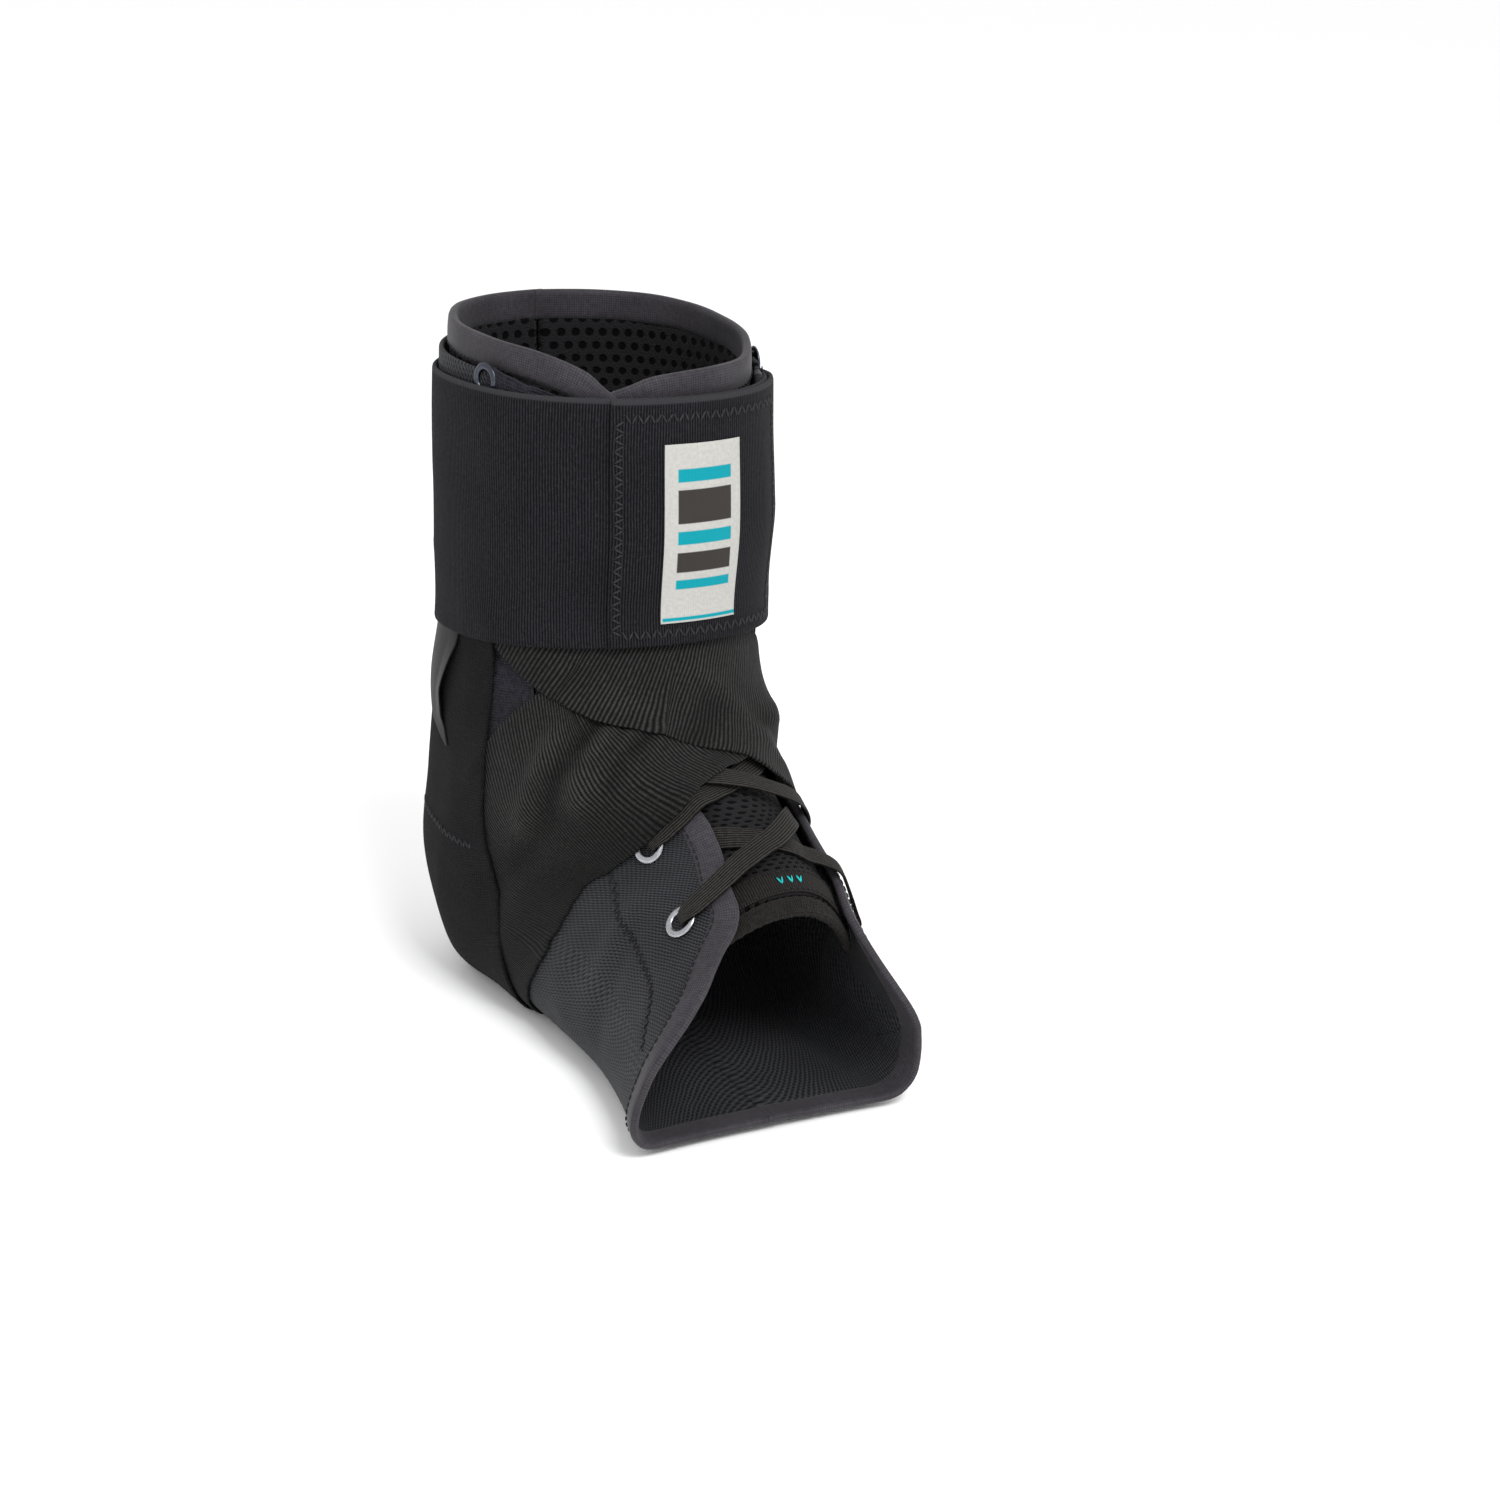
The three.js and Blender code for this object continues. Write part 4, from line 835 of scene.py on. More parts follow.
# %% Loop fabric that the fastenings grip
LOOP_PATCHES = {  # each side's start and end down the shell in mm, and its angle in degrees
    "loop_patch_outer": (94, 142, 54, 94, 142, 86),
    "loop_patch_inner": (94, 142, -66, 94, 142, -98),
    "loop_strip_top": (31, 40, 17, 21, 40, 74),
}
LOOP_THICKNESS, NAP = 0.7, 0.4  # mm
for name, (s0, s1, v0, s2, s3, v1) in LOOP_PATCHES.items():
    grid = patch(np.stack([np.linspace(s0, s1, 40), np.full(40, v0)], -1),
                 np.stack([np.linspace(s2, s3, 40), np.full(40, v1)], -1), 1.2, 0.5)
    nap = NAP * np.sin(grid["u"] * 2.1 + 2 * np.sin(grid["v"] * 1.3)) * np.sin(grid["v"] * 1.9)
    base = read_map(quarter_map, grid["along"], grid["around"]) + 0.05 + nap
    pieces[name] = cloth(name, grid, base, LOOP_THICKNESS, loop_fabric)
    draw_on_map(heights, grid["along"], grid["around"], base + LOOP_THICKNESS)

# %% [markdown]
# ## Lining, rim and tongue
# Inside the shell is a collar of spacer mesh that narrows to the tongue. It could be two pieces
# that meet, but the real one is cut in one, so one grid runs from the rim to the tongue's tip
# and only its width changes. The finish draws the holes.

# %% Lining with the tongue
RIM = np.array([[0.036, -179.9], [0.04, -120], [0.05, -80], [0.064, -46], [0.067, -12], [0.072, 8],
                [0.082, 24], [0.07, 32], [0.062, 41], [0.055, 54], [0.051, 69], [0.046, 102],
                [0.04, 130], [0.036, 179.9]]) * (SHELL_LENGTH, 1)
TONGUE_OUTSIDE, TONGUE_THICKNESS, LINING_END, RIM_WIDTH = -4.0, 1.8, 108.0, 9.0  # mm
TONGUE_END, TONGUE_EDGE_WIDTH = 248.0, 6.0  # mm
COLLAR_TURN = 179.8  # degrees that half the collar spans, just short of itself at the back
LINING_DEGREE = 0.72  # mm for one degree on the lining, which lies inside the shell
TONGUE_SIDES = {"outer": [[0.39, 66], [0.5, 54], [0.6, 44], [0.76, 48]],
                "inner": [[0.39, -72], [0.5, -66], [0.6, -62], [0.76, -66]]}


def tongue_level(along):
    """Height of the lining's outside, which lies a little higher near the rim."""
    t = np.clip((along - 28) / 20, 0, 1)
    return TONGUE_OUTSIDE + 1.0 - t * t * (3 - 2 * t)


rim_line = smooth_line(RIM, 300)
tongue_sides = {side: smooth_line(np.array(rows) * (SHELL_LENGTH, 1), 60)
                for side, rows in TONGUE_SIDES.items()}
tip = TONGUE_END - TONGUE_EDGE_WIDTH
outer_tip, inner_tip = (tongue_sides[side][-1, 1] for side in SIDES)
tip_line = smooth_line([[tip + 5, outer_tip], [tip, -8], [tip + 5, inner_tip]], 80)


def lining_width(along, side):
    """Degrees from the front to the lining's edge: all the way round, then the tongue's width."""
    table = tongue_sides[side]
    narrow = np.interp(along, table[:, 0], np.abs(table[:, 1]))
    t = np.clip((along - LINING_END + 4) / 10, 0, 1)
    return COLLAR_TURN + (narrow - COLLAR_TURN) * t * t * (3 - 2 * t)


rows = ticks(240, 1.5, 0.8) / 240
columns = np.linspace(-1, 1, 241)
T, Q = np.meshgrid(rows, columns, indexing="ij")
top_edge = np.interp(Q * 180, rim_line[:, 1], rim_line[:, 0]) + RIM_WIDTH - 1.5
tip_order = np.argsort(tip_line[:, 1])
tip_wide = np.where(Q > 0, Q * outer_tip, -Q * inner_tip)
low_edge = np.interp(tip_wide, tip_line[tip_order, 1], tip_line[tip_order, 0])
along = top_edge + (low_edge - top_edge) * T
half = np.where(Q > 0, lining_width(along, "outer"), lining_width(along, "inner"))
lining = {"along": along, "around": Q * half, "u": Q * half * LINING_DEGREE, "v": along, "edge": 0.8,
          "to_side": (1 - np.abs(Q)) * 130, "to_end": np.minimum(T, 1 - T) * 240}
base = tongue_level(along) - TONGUE_THICKNESS
pieces["tongue_lining_mesh"] = cloth("tongue_lining_mesh", lining, base, TONGUE_THICKNESS, spacer_mesh)

# %% [markdown]
# ## Rim
# The lining's upper edge is bound with a wide tape. Its two ends cross at a notch in front, the
# left one on top. A single closed ring would hide that, so two strips cross in front and lap at
# the back, and a faint ripple shows where the tape is eased round the bend.

# %% Rim in two flaps that cross in front
BACK_LAP = np.array([0, 1.6])  # degrees
RIM_THICKNESS, RIM_RIPPLE = 2.6, 0.25  # mm
left_flap = rim_line[rim_line[:, 1] > 24]
right_flap = rim_line[rim_line[:, 1] < 24]
left_rows = [[[33, 9], [29.5, 16], [26, 22]], left_flap[3:-5:8], left_flap[-1:] + BACK_LAP]
right_rows = [right_flap[:1] - BACK_LAP, right_flap[5:-3:8], [[25.5, 25], [28.5, 31], [32, 38]]]
left_line, right_line = (smooth_line(np.vstack(rows), 260) for rows in (left_rows, right_rows))
for name, line, lift in (("rim_left", left_line, 0.9), ("rim_right", right_line, 0.0)):
    strip = patch(line, offset_line(line, -RIM_WIDTH), 1.6, 1.6)
    front = np.exp(-((strip["around"] - 18) / 22) ** 2)
    behind = np.exp(-((strip["around"] - 180) / 12) ** 2)
    ripple = RIM_RIPPLE * np.sin(strip["around"] / 6.5 + strip["u"] / 3) * np.sin(strip["around"] / 17)
    base = tongue_level(strip["along"]) - TONGUE_THICKNESS - 0.5 + lift * (front + 0.5 * behind) + ripple
    pieces[name] = cloth(name, strip, base, RIM_THICKNESS, jersey_binding, puff=0.25)

# %% [markdown]
# ## Tongue's end
# Coarse knit binds the tip, and a woven band lies across the tongue behind it. A smooth tube
# would look like rubber, so the knit's height goes up and down with one lump every 3.3 mm.

# %% Bound end of the tongue and the band across it
LUMP_PITCH, LUMP_HEIGHT = 3.3, 0.4  # mm
strip = patch(offset_line(tip_line, 0.3), offset_line(tip_line, TONGUE_EDGE_WIDTH), 1.2, 0.9)
turns = strip["v"] * 2 * np.pi / LUMP_PITCH
lumps = LUMP_HEIGHT * np.sin(turns + np.sin(strip["v"] / 5)) * np.cos(strip["u"] * 1.6)
pieces["tongue_edge_knit"] = cloth("tongue_edge_knit", strip, TONGUE_OUTSIDE - 2.1 + lumps, 2.5, rough_knit)
band_line = tip_line[(tip_line[:, 1] < 34) & (tip_line[:, 1] > -56)]
strip = patch(offset_line(band_line, -0.5), offset_line(band_line, -8.5), 1.2, 0.4)
base = np.full(strip["u"].shape, TONGUE_OUTSIDE + 0.3)
pieces["tongue_band_tape"] = cloth("tongue_band_tape", strip, base, 0.6, woven_band)

# %% [markdown]
# ## Eyelets
# Each eyelet is a pressed ring of nickel-plated brass with a rolled lip. Bevels on the CAD ring
# would round it, but not roll its lip. So a profile is turned about an axis, which the CAD
# eyelet gives with its place: its flattest direction is the way out, and its hole is kept.

# %% Turned eyelets
# Radius and height in mm, from the hole's lower edge round the rolled lip and back
EYELET_PROFILE = [(2.75, -1.7), (3.15, -1.7), (3.25, 0.3), (3.6, 0.2), (4.6, 0.15), (4.9, 0.4), (4.8, 0.75),
                  (4.35, 1.0), (3.8, 1.12), (3.2, 1.0), (2.8, 0.7), (2.75, 0.3)]
EYELET_PAIRS = [0.79, 0.575, 0.44, 0.31, 0.084]  # shares of the shell's length, from the toes up
EYELET_INSET, EYELET_DEPTH, EYELET_TOP = 16.0, 0.0017, 1.2  # mm from the edge, metres, mm
TOP_PAIR = 5


def turned_ring(name, centre, axis, finish, count=48):
    """Closed ring from a profile of radius and height, turned about an axis."""
    side_way = unit(np.cross(axis, [0.3, 0.5, 0.8]))
    other_way = np.cross(axis, side_way)
    angles = np.arange(count) * 2 * np.pi / count
    points = [centre + (r * (np.cos(a) * side_way + np.sin(a) * other_way) + h * axis) / 1000
              for a in angles for r, h in EYELET_PROFILE]
    size = len(EYELET_PROFILE)
    faces = [(k * size + i, k * size + (i + 1) % size, (k + 1) % count * size + (i + 1) % size,
              (k + 1) % count * size + i) for k in range(count) for i in range(size)]
    mesh = bpy.data.meshes.new(name)
    mesh.from_pydata([tuple(p) for p in points], [], faces)
    mesh.shade_smooth()
    mesh.materials.append(finish)
    mesh.uv_layers.new(name="weave")
    return link(name, mesh)


eyelet_places = {}
for side in SIDES:
    edge = np.vstack([[[QUARTER_TOP, edge_rows(LACING, side)[0, 1]]], edge_rows(LACING, side)])
    for number, pair in enumerate(EYELET_PAIRS, 1):
        node_name = f"eyelet_{side}_{number}"
        co = np.array([v.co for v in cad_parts[node_name].data.vertices])
        centre = co.mean(0)
        axis = np.linalg.eigh(np.cov((co - centre).T))[1][:, 0]
        s = pair * SHELL_LENGTH
        before, here, after = (np.interp(s + step, edge[:, 0], edge[:, 1]) for step in (-4, 0, 4))
        heading = np.array([[8.0, after - before]])
        at = walk_across(np.array([[s, here]]), heading, SIDES[side] * EYELET_INSET)[0]
        eyelet_places[side, number] = at
        if axis @ directions(at[0], at[1])[2] < 0:
            axis = -axis
        reach = (co - centre) @ axis
        origin = centre + axis * (reach.min() + EYELET_DEPTH)
        # The top pair gets the nickel plate with painted shade.
        plate = nickel_with_painted_shade if number == TOP_PAIR else nickel_plate
        piece = turned_ring(f"{node_name}_ring", origin, axis, plate)
        pieces[piece.name] = piece
        ring = np.linspace(0, 2 * np.pi, 24)
        degree = np.linalg.norm(directions(at[0], at[1])[1])
        for radius in (2.2, 3.2, 4.2):
            draw_on_map(heights, at[0] + radius * np.cos(ring), at[1] + radius * np.sin(ring) / degree,
                        np.full(24, EYELET_TOP))
print("eyelets at", {key: [round(float(x), 1) for x in value] for key, value in eyelet_places.items()})

# %% [markdown]
# ## Laces
# Two flat woven laces cross over the tongue. Each one comes up through an eyelet, goes over the
# bound edge and dives under the other quarter to its next eyelet. A curve with a flat bevel
# would twist at the eyelets and cut into the cloth, so each ring of points is set one by one: its
# middle follows a table of heights, and its width stays level with the cloth below it.

# %% Lace routes
LACE_WIDTH, LACE_THICKNESS, LACE_IN_HOLE = 6.8, 0.9, 4.4  # mm
LACE_OVER, LACE_UNDER, LACE_TAIL = 1.75, -2.85, 9.0  # mm
LACE_BOWS = ((-0.13, 0.10), (0.0, 0.15))  # how far each lace bends aside, as shares of its way
# Share of the way across the gap, and share of the height from under to over
OVER_CROSSING = np.array([[0, 1], [0.1, 1], [0.3, 0.68], [0.5, 0.5],
                          [0.68, 0.44], [0.82, 0.08], [0.88, 0], [1, 0]])
UNDER_CROSSING = np.array([[0, 1], [0.05, 0.96], [0.2, 0.04], [0.28, 0], [1, 0]])


def lace_route(first_side, crossing, bows):
    """Rows of along, around, height, width and whether the lace runs through a hole."""
    names = list(SIDES)
    side = names[first_side]
    rows = []
    for pair in range(4):
        here = eyelet_places[side, pair + 1]
        degree = np.linalg.norm(directions(here[0], here[1])[1])
        # Distance from the hole towards the gap in mm, height, width, and 1 in the hole
        through = [(1.0, LACE_UNDER, LACE_IN_HOLE, 1), (0.1, LACE_UNDER * 0.4, LACE_IN_HOLE, 1),
                   (0.1, 0.6, LACE_IN_HOLE, 1), (1.0, LACE_OVER - 0.1, LACE_IN_HOLE, 1)]
        if pair == 0:
            through = [(-LACE_TAIL * k, LACE_UNDER, LACE_WIDTH, 0) for k in (1, 0.5)] + through
        if pair == 3:
            through += [(LACE_TAIL * k, LACE_OVER, LACE_WIDTH, 0) for k in (0.5, 1)]
        rows += [(here[0], here[1] - SIDES[side] * distance / degree, *rest) for distance, *rest in through]
        if pair == 3:
            break
        other = names[1 - names.index(side)]
        there = eyelet_places[other, pair + 2]
        for q in np.linspace(0.07, 0.94, 12):
            bow = bows[0] * math.sin(2 * math.pi * q) + bows[1] * math.sin(math.pi * q)
            s = here[0] + (there[0] - here[0]) * (q + bow)
            v = here[1] + (there[1] - here[1]) * q
            leave, arrive = (np.interp(s, edge_rows(LACING, k)[:, 0], edge_rows(LACING, k)[:, 1])
                             for k in (side, other))
            t = np.clip((v - leave) / (arrive - leave), 0, 1)
            height = LACE_UNDER + (LACE_OVER - LACE_UNDER) * np.interp(t, crossing[:, 0], crossing[:, 1])
            rows.append((s, v, height, LACE_WIDTH, 0))
        side = other
    return np.array(rows)


# %% Flat laces along their routes
LACE_HALF = [(-0.5, 0), (-0.47, 0.3), (-0.4, 0.46), (-0.2, 0.5),
             (0, 0.47), (0.2, 0.5), (0.4, 0.46), (0.47, 0.3)]
LACE_PROFILE = LACE_HALF + [(-w, -h) for w, h in LACE_HALF]  # shares of its width and its thickness


def make_outward(piece):
    """Recalculate a closed mesh's faces so that they point outwards."""
    work = bmesh.new()
    work.from_mesh(piece.data)
    bmesh.ops.recalc_face_normals(work, faces=work.faces)
    work.to_mesh(piece.data)
    work.free()


def ribbon(name, route, finish):
    """Flat lace with a rounded edge along a route, twisted into each eyelet."""
    fine = smooth_line(route[:, :4], len(route) * 6)
    hole = np.interp(np.linspace(0, 1, len(fine)), np.linspace(0, 1, len(route)), route[:, 4])
    points = place(fine[:, 0], fine[:, 1], fine[:, 2]) * 1000
    forward = unit(np.gradient(points, axis=0))
    down, _, out = directions(fine[:, 0], fine[:, 1])
    steady = unit(down)
    flow = np.gradient(on_shell(fine[:, 0], fine[:, 1]), axis=0)
    level = unit(np.cross(out, flow))
    level = np.where((level * steady).sum(-1, keepdims=True) < 0, -level, level)
    share = np.clip(hole * 1.6, 0, 1)[:, None]
    sideways = level * (1 - share) + steady * share
    for _ in range(3):
        sideways[1:-1] = (sideways[:-2] + 2 * sideways[1:-1] + sideways[2:]) / 4
    sideways = unit(sideways - forward * (sideways * forward).sum(-1, keepdims=True))
    upward = np.cross(forward, sideways)
    rings = [points + sideways * fine[:, 3:4] * w + upward * LACE_THICKNESS * h for w, h in LACE_PROFILE]
    corners = np.stack(rings, 1).reshape(-1, 3) / 1000
    size, last = len(LACE_PROFILE), len(fine) - 1
    faces = [(k * size + i, k * size + (i + 1) % size, (k + 1) * size + (i + 1) % size, (k + 1) * size + i)
             for k in range(last) for i in range(size)]
    faces += [tuple(range(size))[::-1], tuple(last * size + i for i in range(size))]
    mesh = bpy.data.meshes.new(name)
    mesh.from_pydata(corners.tolist(), [], faces)
    layer = mesh.uv_layers.new(name="weave")
    lengths = np.concatenate([[0], np.cumsum(np.linalg.norm(np.diff(points, axis=0), axis=1))])
    index = np.zeros(len(mesh.loops), int)
    mesh.loops.foreach_get("vertex_index", index)
    shares = np.array([w for w, h in LACE_PROFILE])
    uv = np.stack([shares[index % size] * LACE_WIDTH + 3, lengths[index // size]], -1)
    layer.data.foreach_set("uv", uv.astype(np.float32).ravel())
    mesh.shade_smooth()
    mesh.materials.append(finish)
    piece = link(name, mesh)
    make_outward(piece)
    high = fine[:, 2] + LACE_THICKNESS / 2
    aside = offset_line(fine[:, :2], 1.0) - fine[:, :2]
    for w in np.linspace(-0.5, 0.5, 7):
        step = aside * (w * fine[:, 3])[:, None]
        draw_on_map(heights, fine[:, 0] + step[:, 0], fine[:, 1] + step[:, 1], high)
    return piece


routes = {"lace_outer": lace_route(0, OVER_CROSSING, LACE_BOWS[0]),
          "lace_inner": lace_route(1, UNDER_CROSSING, LACE_BOWS[1])}
for name, route in routes.items():
    pieces[f"{name}_cord"] = ribbon(f"{name}_cord", route, woven_lace)
    print(name, "is", round(float(line_lengths(smooth_line(route[:, :2], 200))[-1])), "mm long")

# %% [markdown]
# ## Straps
# Two webbing straps start under the cuff, cross on the instep, pass under the heel and come up
# on the other side. A simulation could pull a sheet over a form, but webbing is too narrow for
# that, and its way round is known: a line with a width at each place. It is laid on the map, its
# first half before its second, because a strap also crosses its own start. Short tables give the
# folds and dents that the photograph shows.

# %% Paths and folds of the straps
STRAP_WIDTH, STRAP_THICKNESS, DEEPEST_DENT = 50.0, 1.0, -0.9  # mm
FIRST_HALF, BRUSHED_FROM = 0.42, 0.6  # shares of the length
STRAP_PATHS = {  # share of the shell's length, degrees around, share of the full width
    "inner": [[0.215, -112, 1], [0.3, -66, 1], [0.362, -31, 1], [0.417, 0, 0.88],
              [0.445, 17, 0.93], [0.474, 31, 1.08],
              [0.533, 64, 1.08], [0.581, 86, 1.04], [0.62, 104, 1], [0.657, 130, 1], [0.68, 158, 1],
              [0.686, 183, 1], [0.675, 210, 1], [0.64, 236, 1], [0.59, 251, 1], [0.53, 259, 1],
              [0.465, 262, 1], [0.363, 263, 1], [0.25, 263, 1]],
    "outer": [[0.16, 112, 1], [0.246, 64, 1], [0.304, 31, 1], [0.358, 0, 1], [0.413, -31, 1],
              [0.478, -62, 1], [0.55, -85, 1], [0.61, -104, 1], [0.648, -130, 1], [0.666, -158, 1],
              [0.67, -183, 1], [0.66, -212, 1], [0.63, -238, 1], [0.585, -252, 1], [0.53, -260, 1],
              [0.465, -262, 1], [0.363, -263, 1], [0.26, -263, 1]],
}
# Folds as (along, around) of both ends, width and height in millimetres
STRAP_FOLDS = {
    "inner": [(126, 31, 142, 46, 1.8, -1.4), (142, 46, 166, 61, 2.0, -1.4), (130, 27, 146, 40, 2.2, 2.6),
              (146, 40, 168, 51, 2.6, 2.2), (134, 14, 146, 28, 1.8, -1.2), (146, 28, 163, 39, 2.0, -1.0),
              (133, 21, 147, 33, 1.6, 1.2), (147, 33, 164, 44, 1.8, 0.8), (164, 57, 176, 84, 3.0, -1.0),
              (128, 45, 153, 63, 2.8, 2.2), (153, 63, 170, 72, 3.0, 1.4), (176, 84, 204, 108, 4.0, 0.8),
              (150, 80, 172, 104, 5.0, -0.5), (150, -20, 120, -80, 4.0, 0.8),
              (135, -30, 110, -80, 4.0, -0.8)],
    "outer": [(118, -16, 146, 6, 5.0, -1.1), (124, 8, 118, 30, 5.0, 0.7), (108, -4, 134, -30, 4.0, 0.8),
              (112, 44, 106, 20, 4.0, -0.5), (140, -30, 176, -60, 4.0, 0.9), (130, -30, 160, -62, 3.5, -0.9),
              (180, -266, 214, -258, 4.0, -0.6), (122, -268, 170, -266, 5.0, 0.5)],
}
print({name: len(rows) for name, rows in STRAP_FOLDS.items()}, "folds and dents")


# %% Straps on the map
def press(field):
    """A map as taut cloth meets it: small hollows are bridged and steps are eased."""
    eased = blur(field, 2.2, 5)
    return np.maximum(eased, blur(np.maximum(field, eased), 1.2, 3))


def painted_fold_shade(wavy, along):
    """Painted light on the ribs: a painted highlight on a fold's crest, painted shade in a hollow and towards
    the sole.
    """
    near_sole = np.clip((along - 158) / 25, 0, 1)
    return np.clip(0.85 + 0.3 * np.clip(wavy, -2.0, 2.5) - 0.5 * near_sole, 0.1, 1.5)


for name in ("inner", "outer"):
    centre = smooth_line(STRAP_PATHS[name], 420) * (SHELL_LENGTH, 1, 1)
    grid = patch(offset_line(centre, -STRAP_WIDTH / 2), offset_line(centre, STRAP_WIDTH / 2), 1.35, 0.7)
    travelled = grid["v"] / grid["v"].max()
    first = grid["v"] < FIRST_HALF * grid["v"].max()
    base = lay(grid, press(heights), bridge=14)
    early = heights.copy()
    draw_on_map(early, grid["along"][first], grid["around"][first], base[first] + STRAP_THICKNESS)
    later = lay(grid, press(early), bridge=14)
    share = np.clip((travelled - 0.55) / 0.1, 0, 1)  # of the second laying, from half way on
    wavy = folds(grid, STRAP_FOLDS[name])
    base = np.maximum(base, later * share + base * (1 - share)) + np.maximum(wavy, DEEPEST_DENT)
    piece_name = f"strap_{name}_webbing"
    # The tone is painted shade in the folds' hollows and towards the sole, and a painted highlight on their
    # crests.
    strap = cloth(piece_name, grid, base, STRAP_THICKNESS, grosgrain, tone=painted_fold_shade(wavy, grid["along"]))
    strap.data.materials.append(brushed_webbing)
    reach = np.zeros((len(strap.data.loops), 2), np.float32)
    strap.data.uv_layers[0].data.foreach_get("uv", reach.ravel())
    for face in strap.data.polygons:
        if reach[face.loop_start, 1] > BRUSHED_FROM * grid["v"].max():
            face.material_index = 1
    pieces[piece_name] = strap
    draw_on_map(heights, grid["along"], grid["around"], base + STRAP_THICKNESS)
    print(piece_name, "is", round(float(grid["v"].max())), "mm long")

# %% [markdown]
# ## Elastic cuff
# The cuff is one strip of wide elastic that goes round more than once, and its free end lies
# over its start. A plain tube would do for the height, but elastic spans what it crosses. So it
# goes nearly straight from the highest places under its top edge to those under its lower edge,
# and only its middle is pushed out where the strap ends under it are thicker.

# %% Height of the elastic cuff
CUFF_TOP, CUFF_HEIGHT, CUFF_THICKNESS, CUFF_GAP = 26.0, ELASTIC_WIDTH, 1.5, 0.25  # mm
CUFF_START, CUFF_END = -430.0, 24.0  # degrees
turns = np.linspace(CUFF_START, CUFF_END, 500)
top_side, low_side = (np.stack([np.full(500, level), turns], -1)
                      for level in (CUFF_TOP, CUFF_TOP + CUFF_HEIGHT))
grid = patch(top_side, low_side, 1.5, SELVEDGE)
under_cuff = heights.copy()
ground = press(press(heights))
level = read_map(ground, grid["along"], grid["around"]) + 0.15
upper_level, lower_level = level[:, :6].max(1), level[:, -6:].max(1)
EASE, REACH = 9, 24  # rows of the grid that the elastic needs to follow a change of height
kernel = np.exp(-0.5 * (np.arange(-REACH, REACH + 1) / EASE) ** 2)
kernel /= kernel.sum()
upper, lower = (np.convolve(np.pad(values, REACH, mode="edge"), kernel, "valid")[:, None]
                for values in (upper_level, lower_level))
across_share = (grid["along"] - CUFF_TOP) / CUFF_HEIGHT
span = upper * (1 - across_share) + lower * across_share
base = span + np.maximum(level - span, 0)
for _ in range(12):
    wide = np.pad(base, 3, mode="edge")
    average = sum(wide[k:k + base.shape[0], 3:-3] + wide[3:-3, k:k + base.shape[1]] for k in range(7)) / 14
    base = np.maximum(average, span * 0.3 + np.maximum(level, span) * 0.7)

# %% Free end, creases and cloth of the cuff
RISE_BEFORE, RISE = 8, 12  # degrees before the start where the free end begins to rise, and its way up
overlap = np.clip((grid["around"] - (CUFF_START + 360 - RISE_BEFORE)) / RISE, 0, 1)
base = base + (CUFF_THICKNESS + CUFF_GAP) * overlap * overlap * (3 - 2 * overlap)
# Creases as (along, around) of both ends, width and height in millimetres
creases = [(30, 4, 96, 6, 3, -0.25), (28, 72, 100, 74, 4, -0.35), (30, 100, 98, 103, 5, 0.3),
           (40, 48, 100, 44, 7, 0.3), (30, -40, 96, -44, 6, 0.35), (90, 20, 99, 60, 5, 0.3),
           (96, -20, 100, -60, 4, 0.3)]
base = base + folds(grid, creases)
pieces["elastic_cuff_band"] = cloth("elastic_cuff_band", grid, base, CUFF_THICKNESS, woven_elastic)
draw_on_map(heights, grid["along"], grid["around"], base + CUFF_THICKNESS)

# %% [markdown]
# ## Label
# A woven label is sewn on the cuff's outer end. It could be a decal in the cuff's finish, but it
# has an edge that catches light, so it is a thin cloth of its own. It is cut by its width in
# millimetres, and the angle that this takes is looked up on the surface.

# %% Label on the cuff's outer end
LABEL_WIDTH, LABEL_HEIGHT, LABEL_THICKNESS, LABEL_TOP = 24.5, 56.5, 0.45, 38.0  # mm
LABEL_EDGE = 5.5  # degrees
turned = np.linspace(0, 60, 121)
widths = line_lengths(np.stack([np.full(121, LABEL_TOP), LABEL_EDGE - turned], -1))
label_turn = np.interp(LABEL_WIDTH, widths, turned)
print("the label spans", round(float(label_turn), 1), "degrees")
rows = np.linspace(LABEL_TOP, LABEL_TOP + LABEL_HEIGHT, 60)
sides = [np.stack([rows, np.full(60, turn)], -1) for turn in (LABEL_EDGE, LABEL_EDGE - label_turn)]
grid = patch(*sides, 1.0, 0.35)
base = lay(grid, blur(heights, 1.5, 3), gap=0.1)
pieces["front_label_satin"] = cloth("front_label_satin", grid, base, LABEL_THICKNESS, woven_label)

# %% [markdown]
# ## Tag
# A folded ribbon hangs out from under the cuff, creased to a curved point by wear. A plain loop
# would be too neat, so a table gives both its edges, and it stands off the strap most along its
# fold and in its middle.

# %% Folded ribbon tag
TAG_LENGTH, TAG_HIDDEN, TAG_THICKNESS, TAG_LIFT, TAG_FOLD = 40.0, 6.0, 0.5, 2.2, 6.0  # mm
# Share of its length, then degrees around of its fold and of its open edge
TAG_SHAPE = np.array([[0.0, 89, 114], [0.25, 90, 116], [0.45, 94, 117],
                      [0.62, 98, 115], [0.8, 99, 110], [1.0, 95, 96]])
down = np.linspace(0, 1, 60)
rows = CUFF_TOP + CUFF_HEIGHT - TAG_HIDDEN + TAG_LENGTH * down
fold, open_edge = (np.stack([rows, np.interp(down, TAG_SHAPE[:, 0], TAG_SHAPE[:, k])], -1) for k in (1, 2))
grid = patch(fold, open_edge, 0.9, 0.3)
clear = np.clip((grid["v"] - TAG_HIDDEN) / (TAG_LENGTH - TAG_HIDDEN), 0, 1)
lift = TAG_LIFT * np.sin(np.pi * clear) ** 1.3 * (0.35 + 0.65 * np.clip(1 - grid["u"] / TAG_FOLD, 0, 1))
base = lay(grid, blur(under_cuff, 1.0, 2), gap=0.1) + lift
pieces["side_tag_ribbon"] = cloth("side_tag_ribbon", grid, base, TAG_THICKNESS, satin_tag)

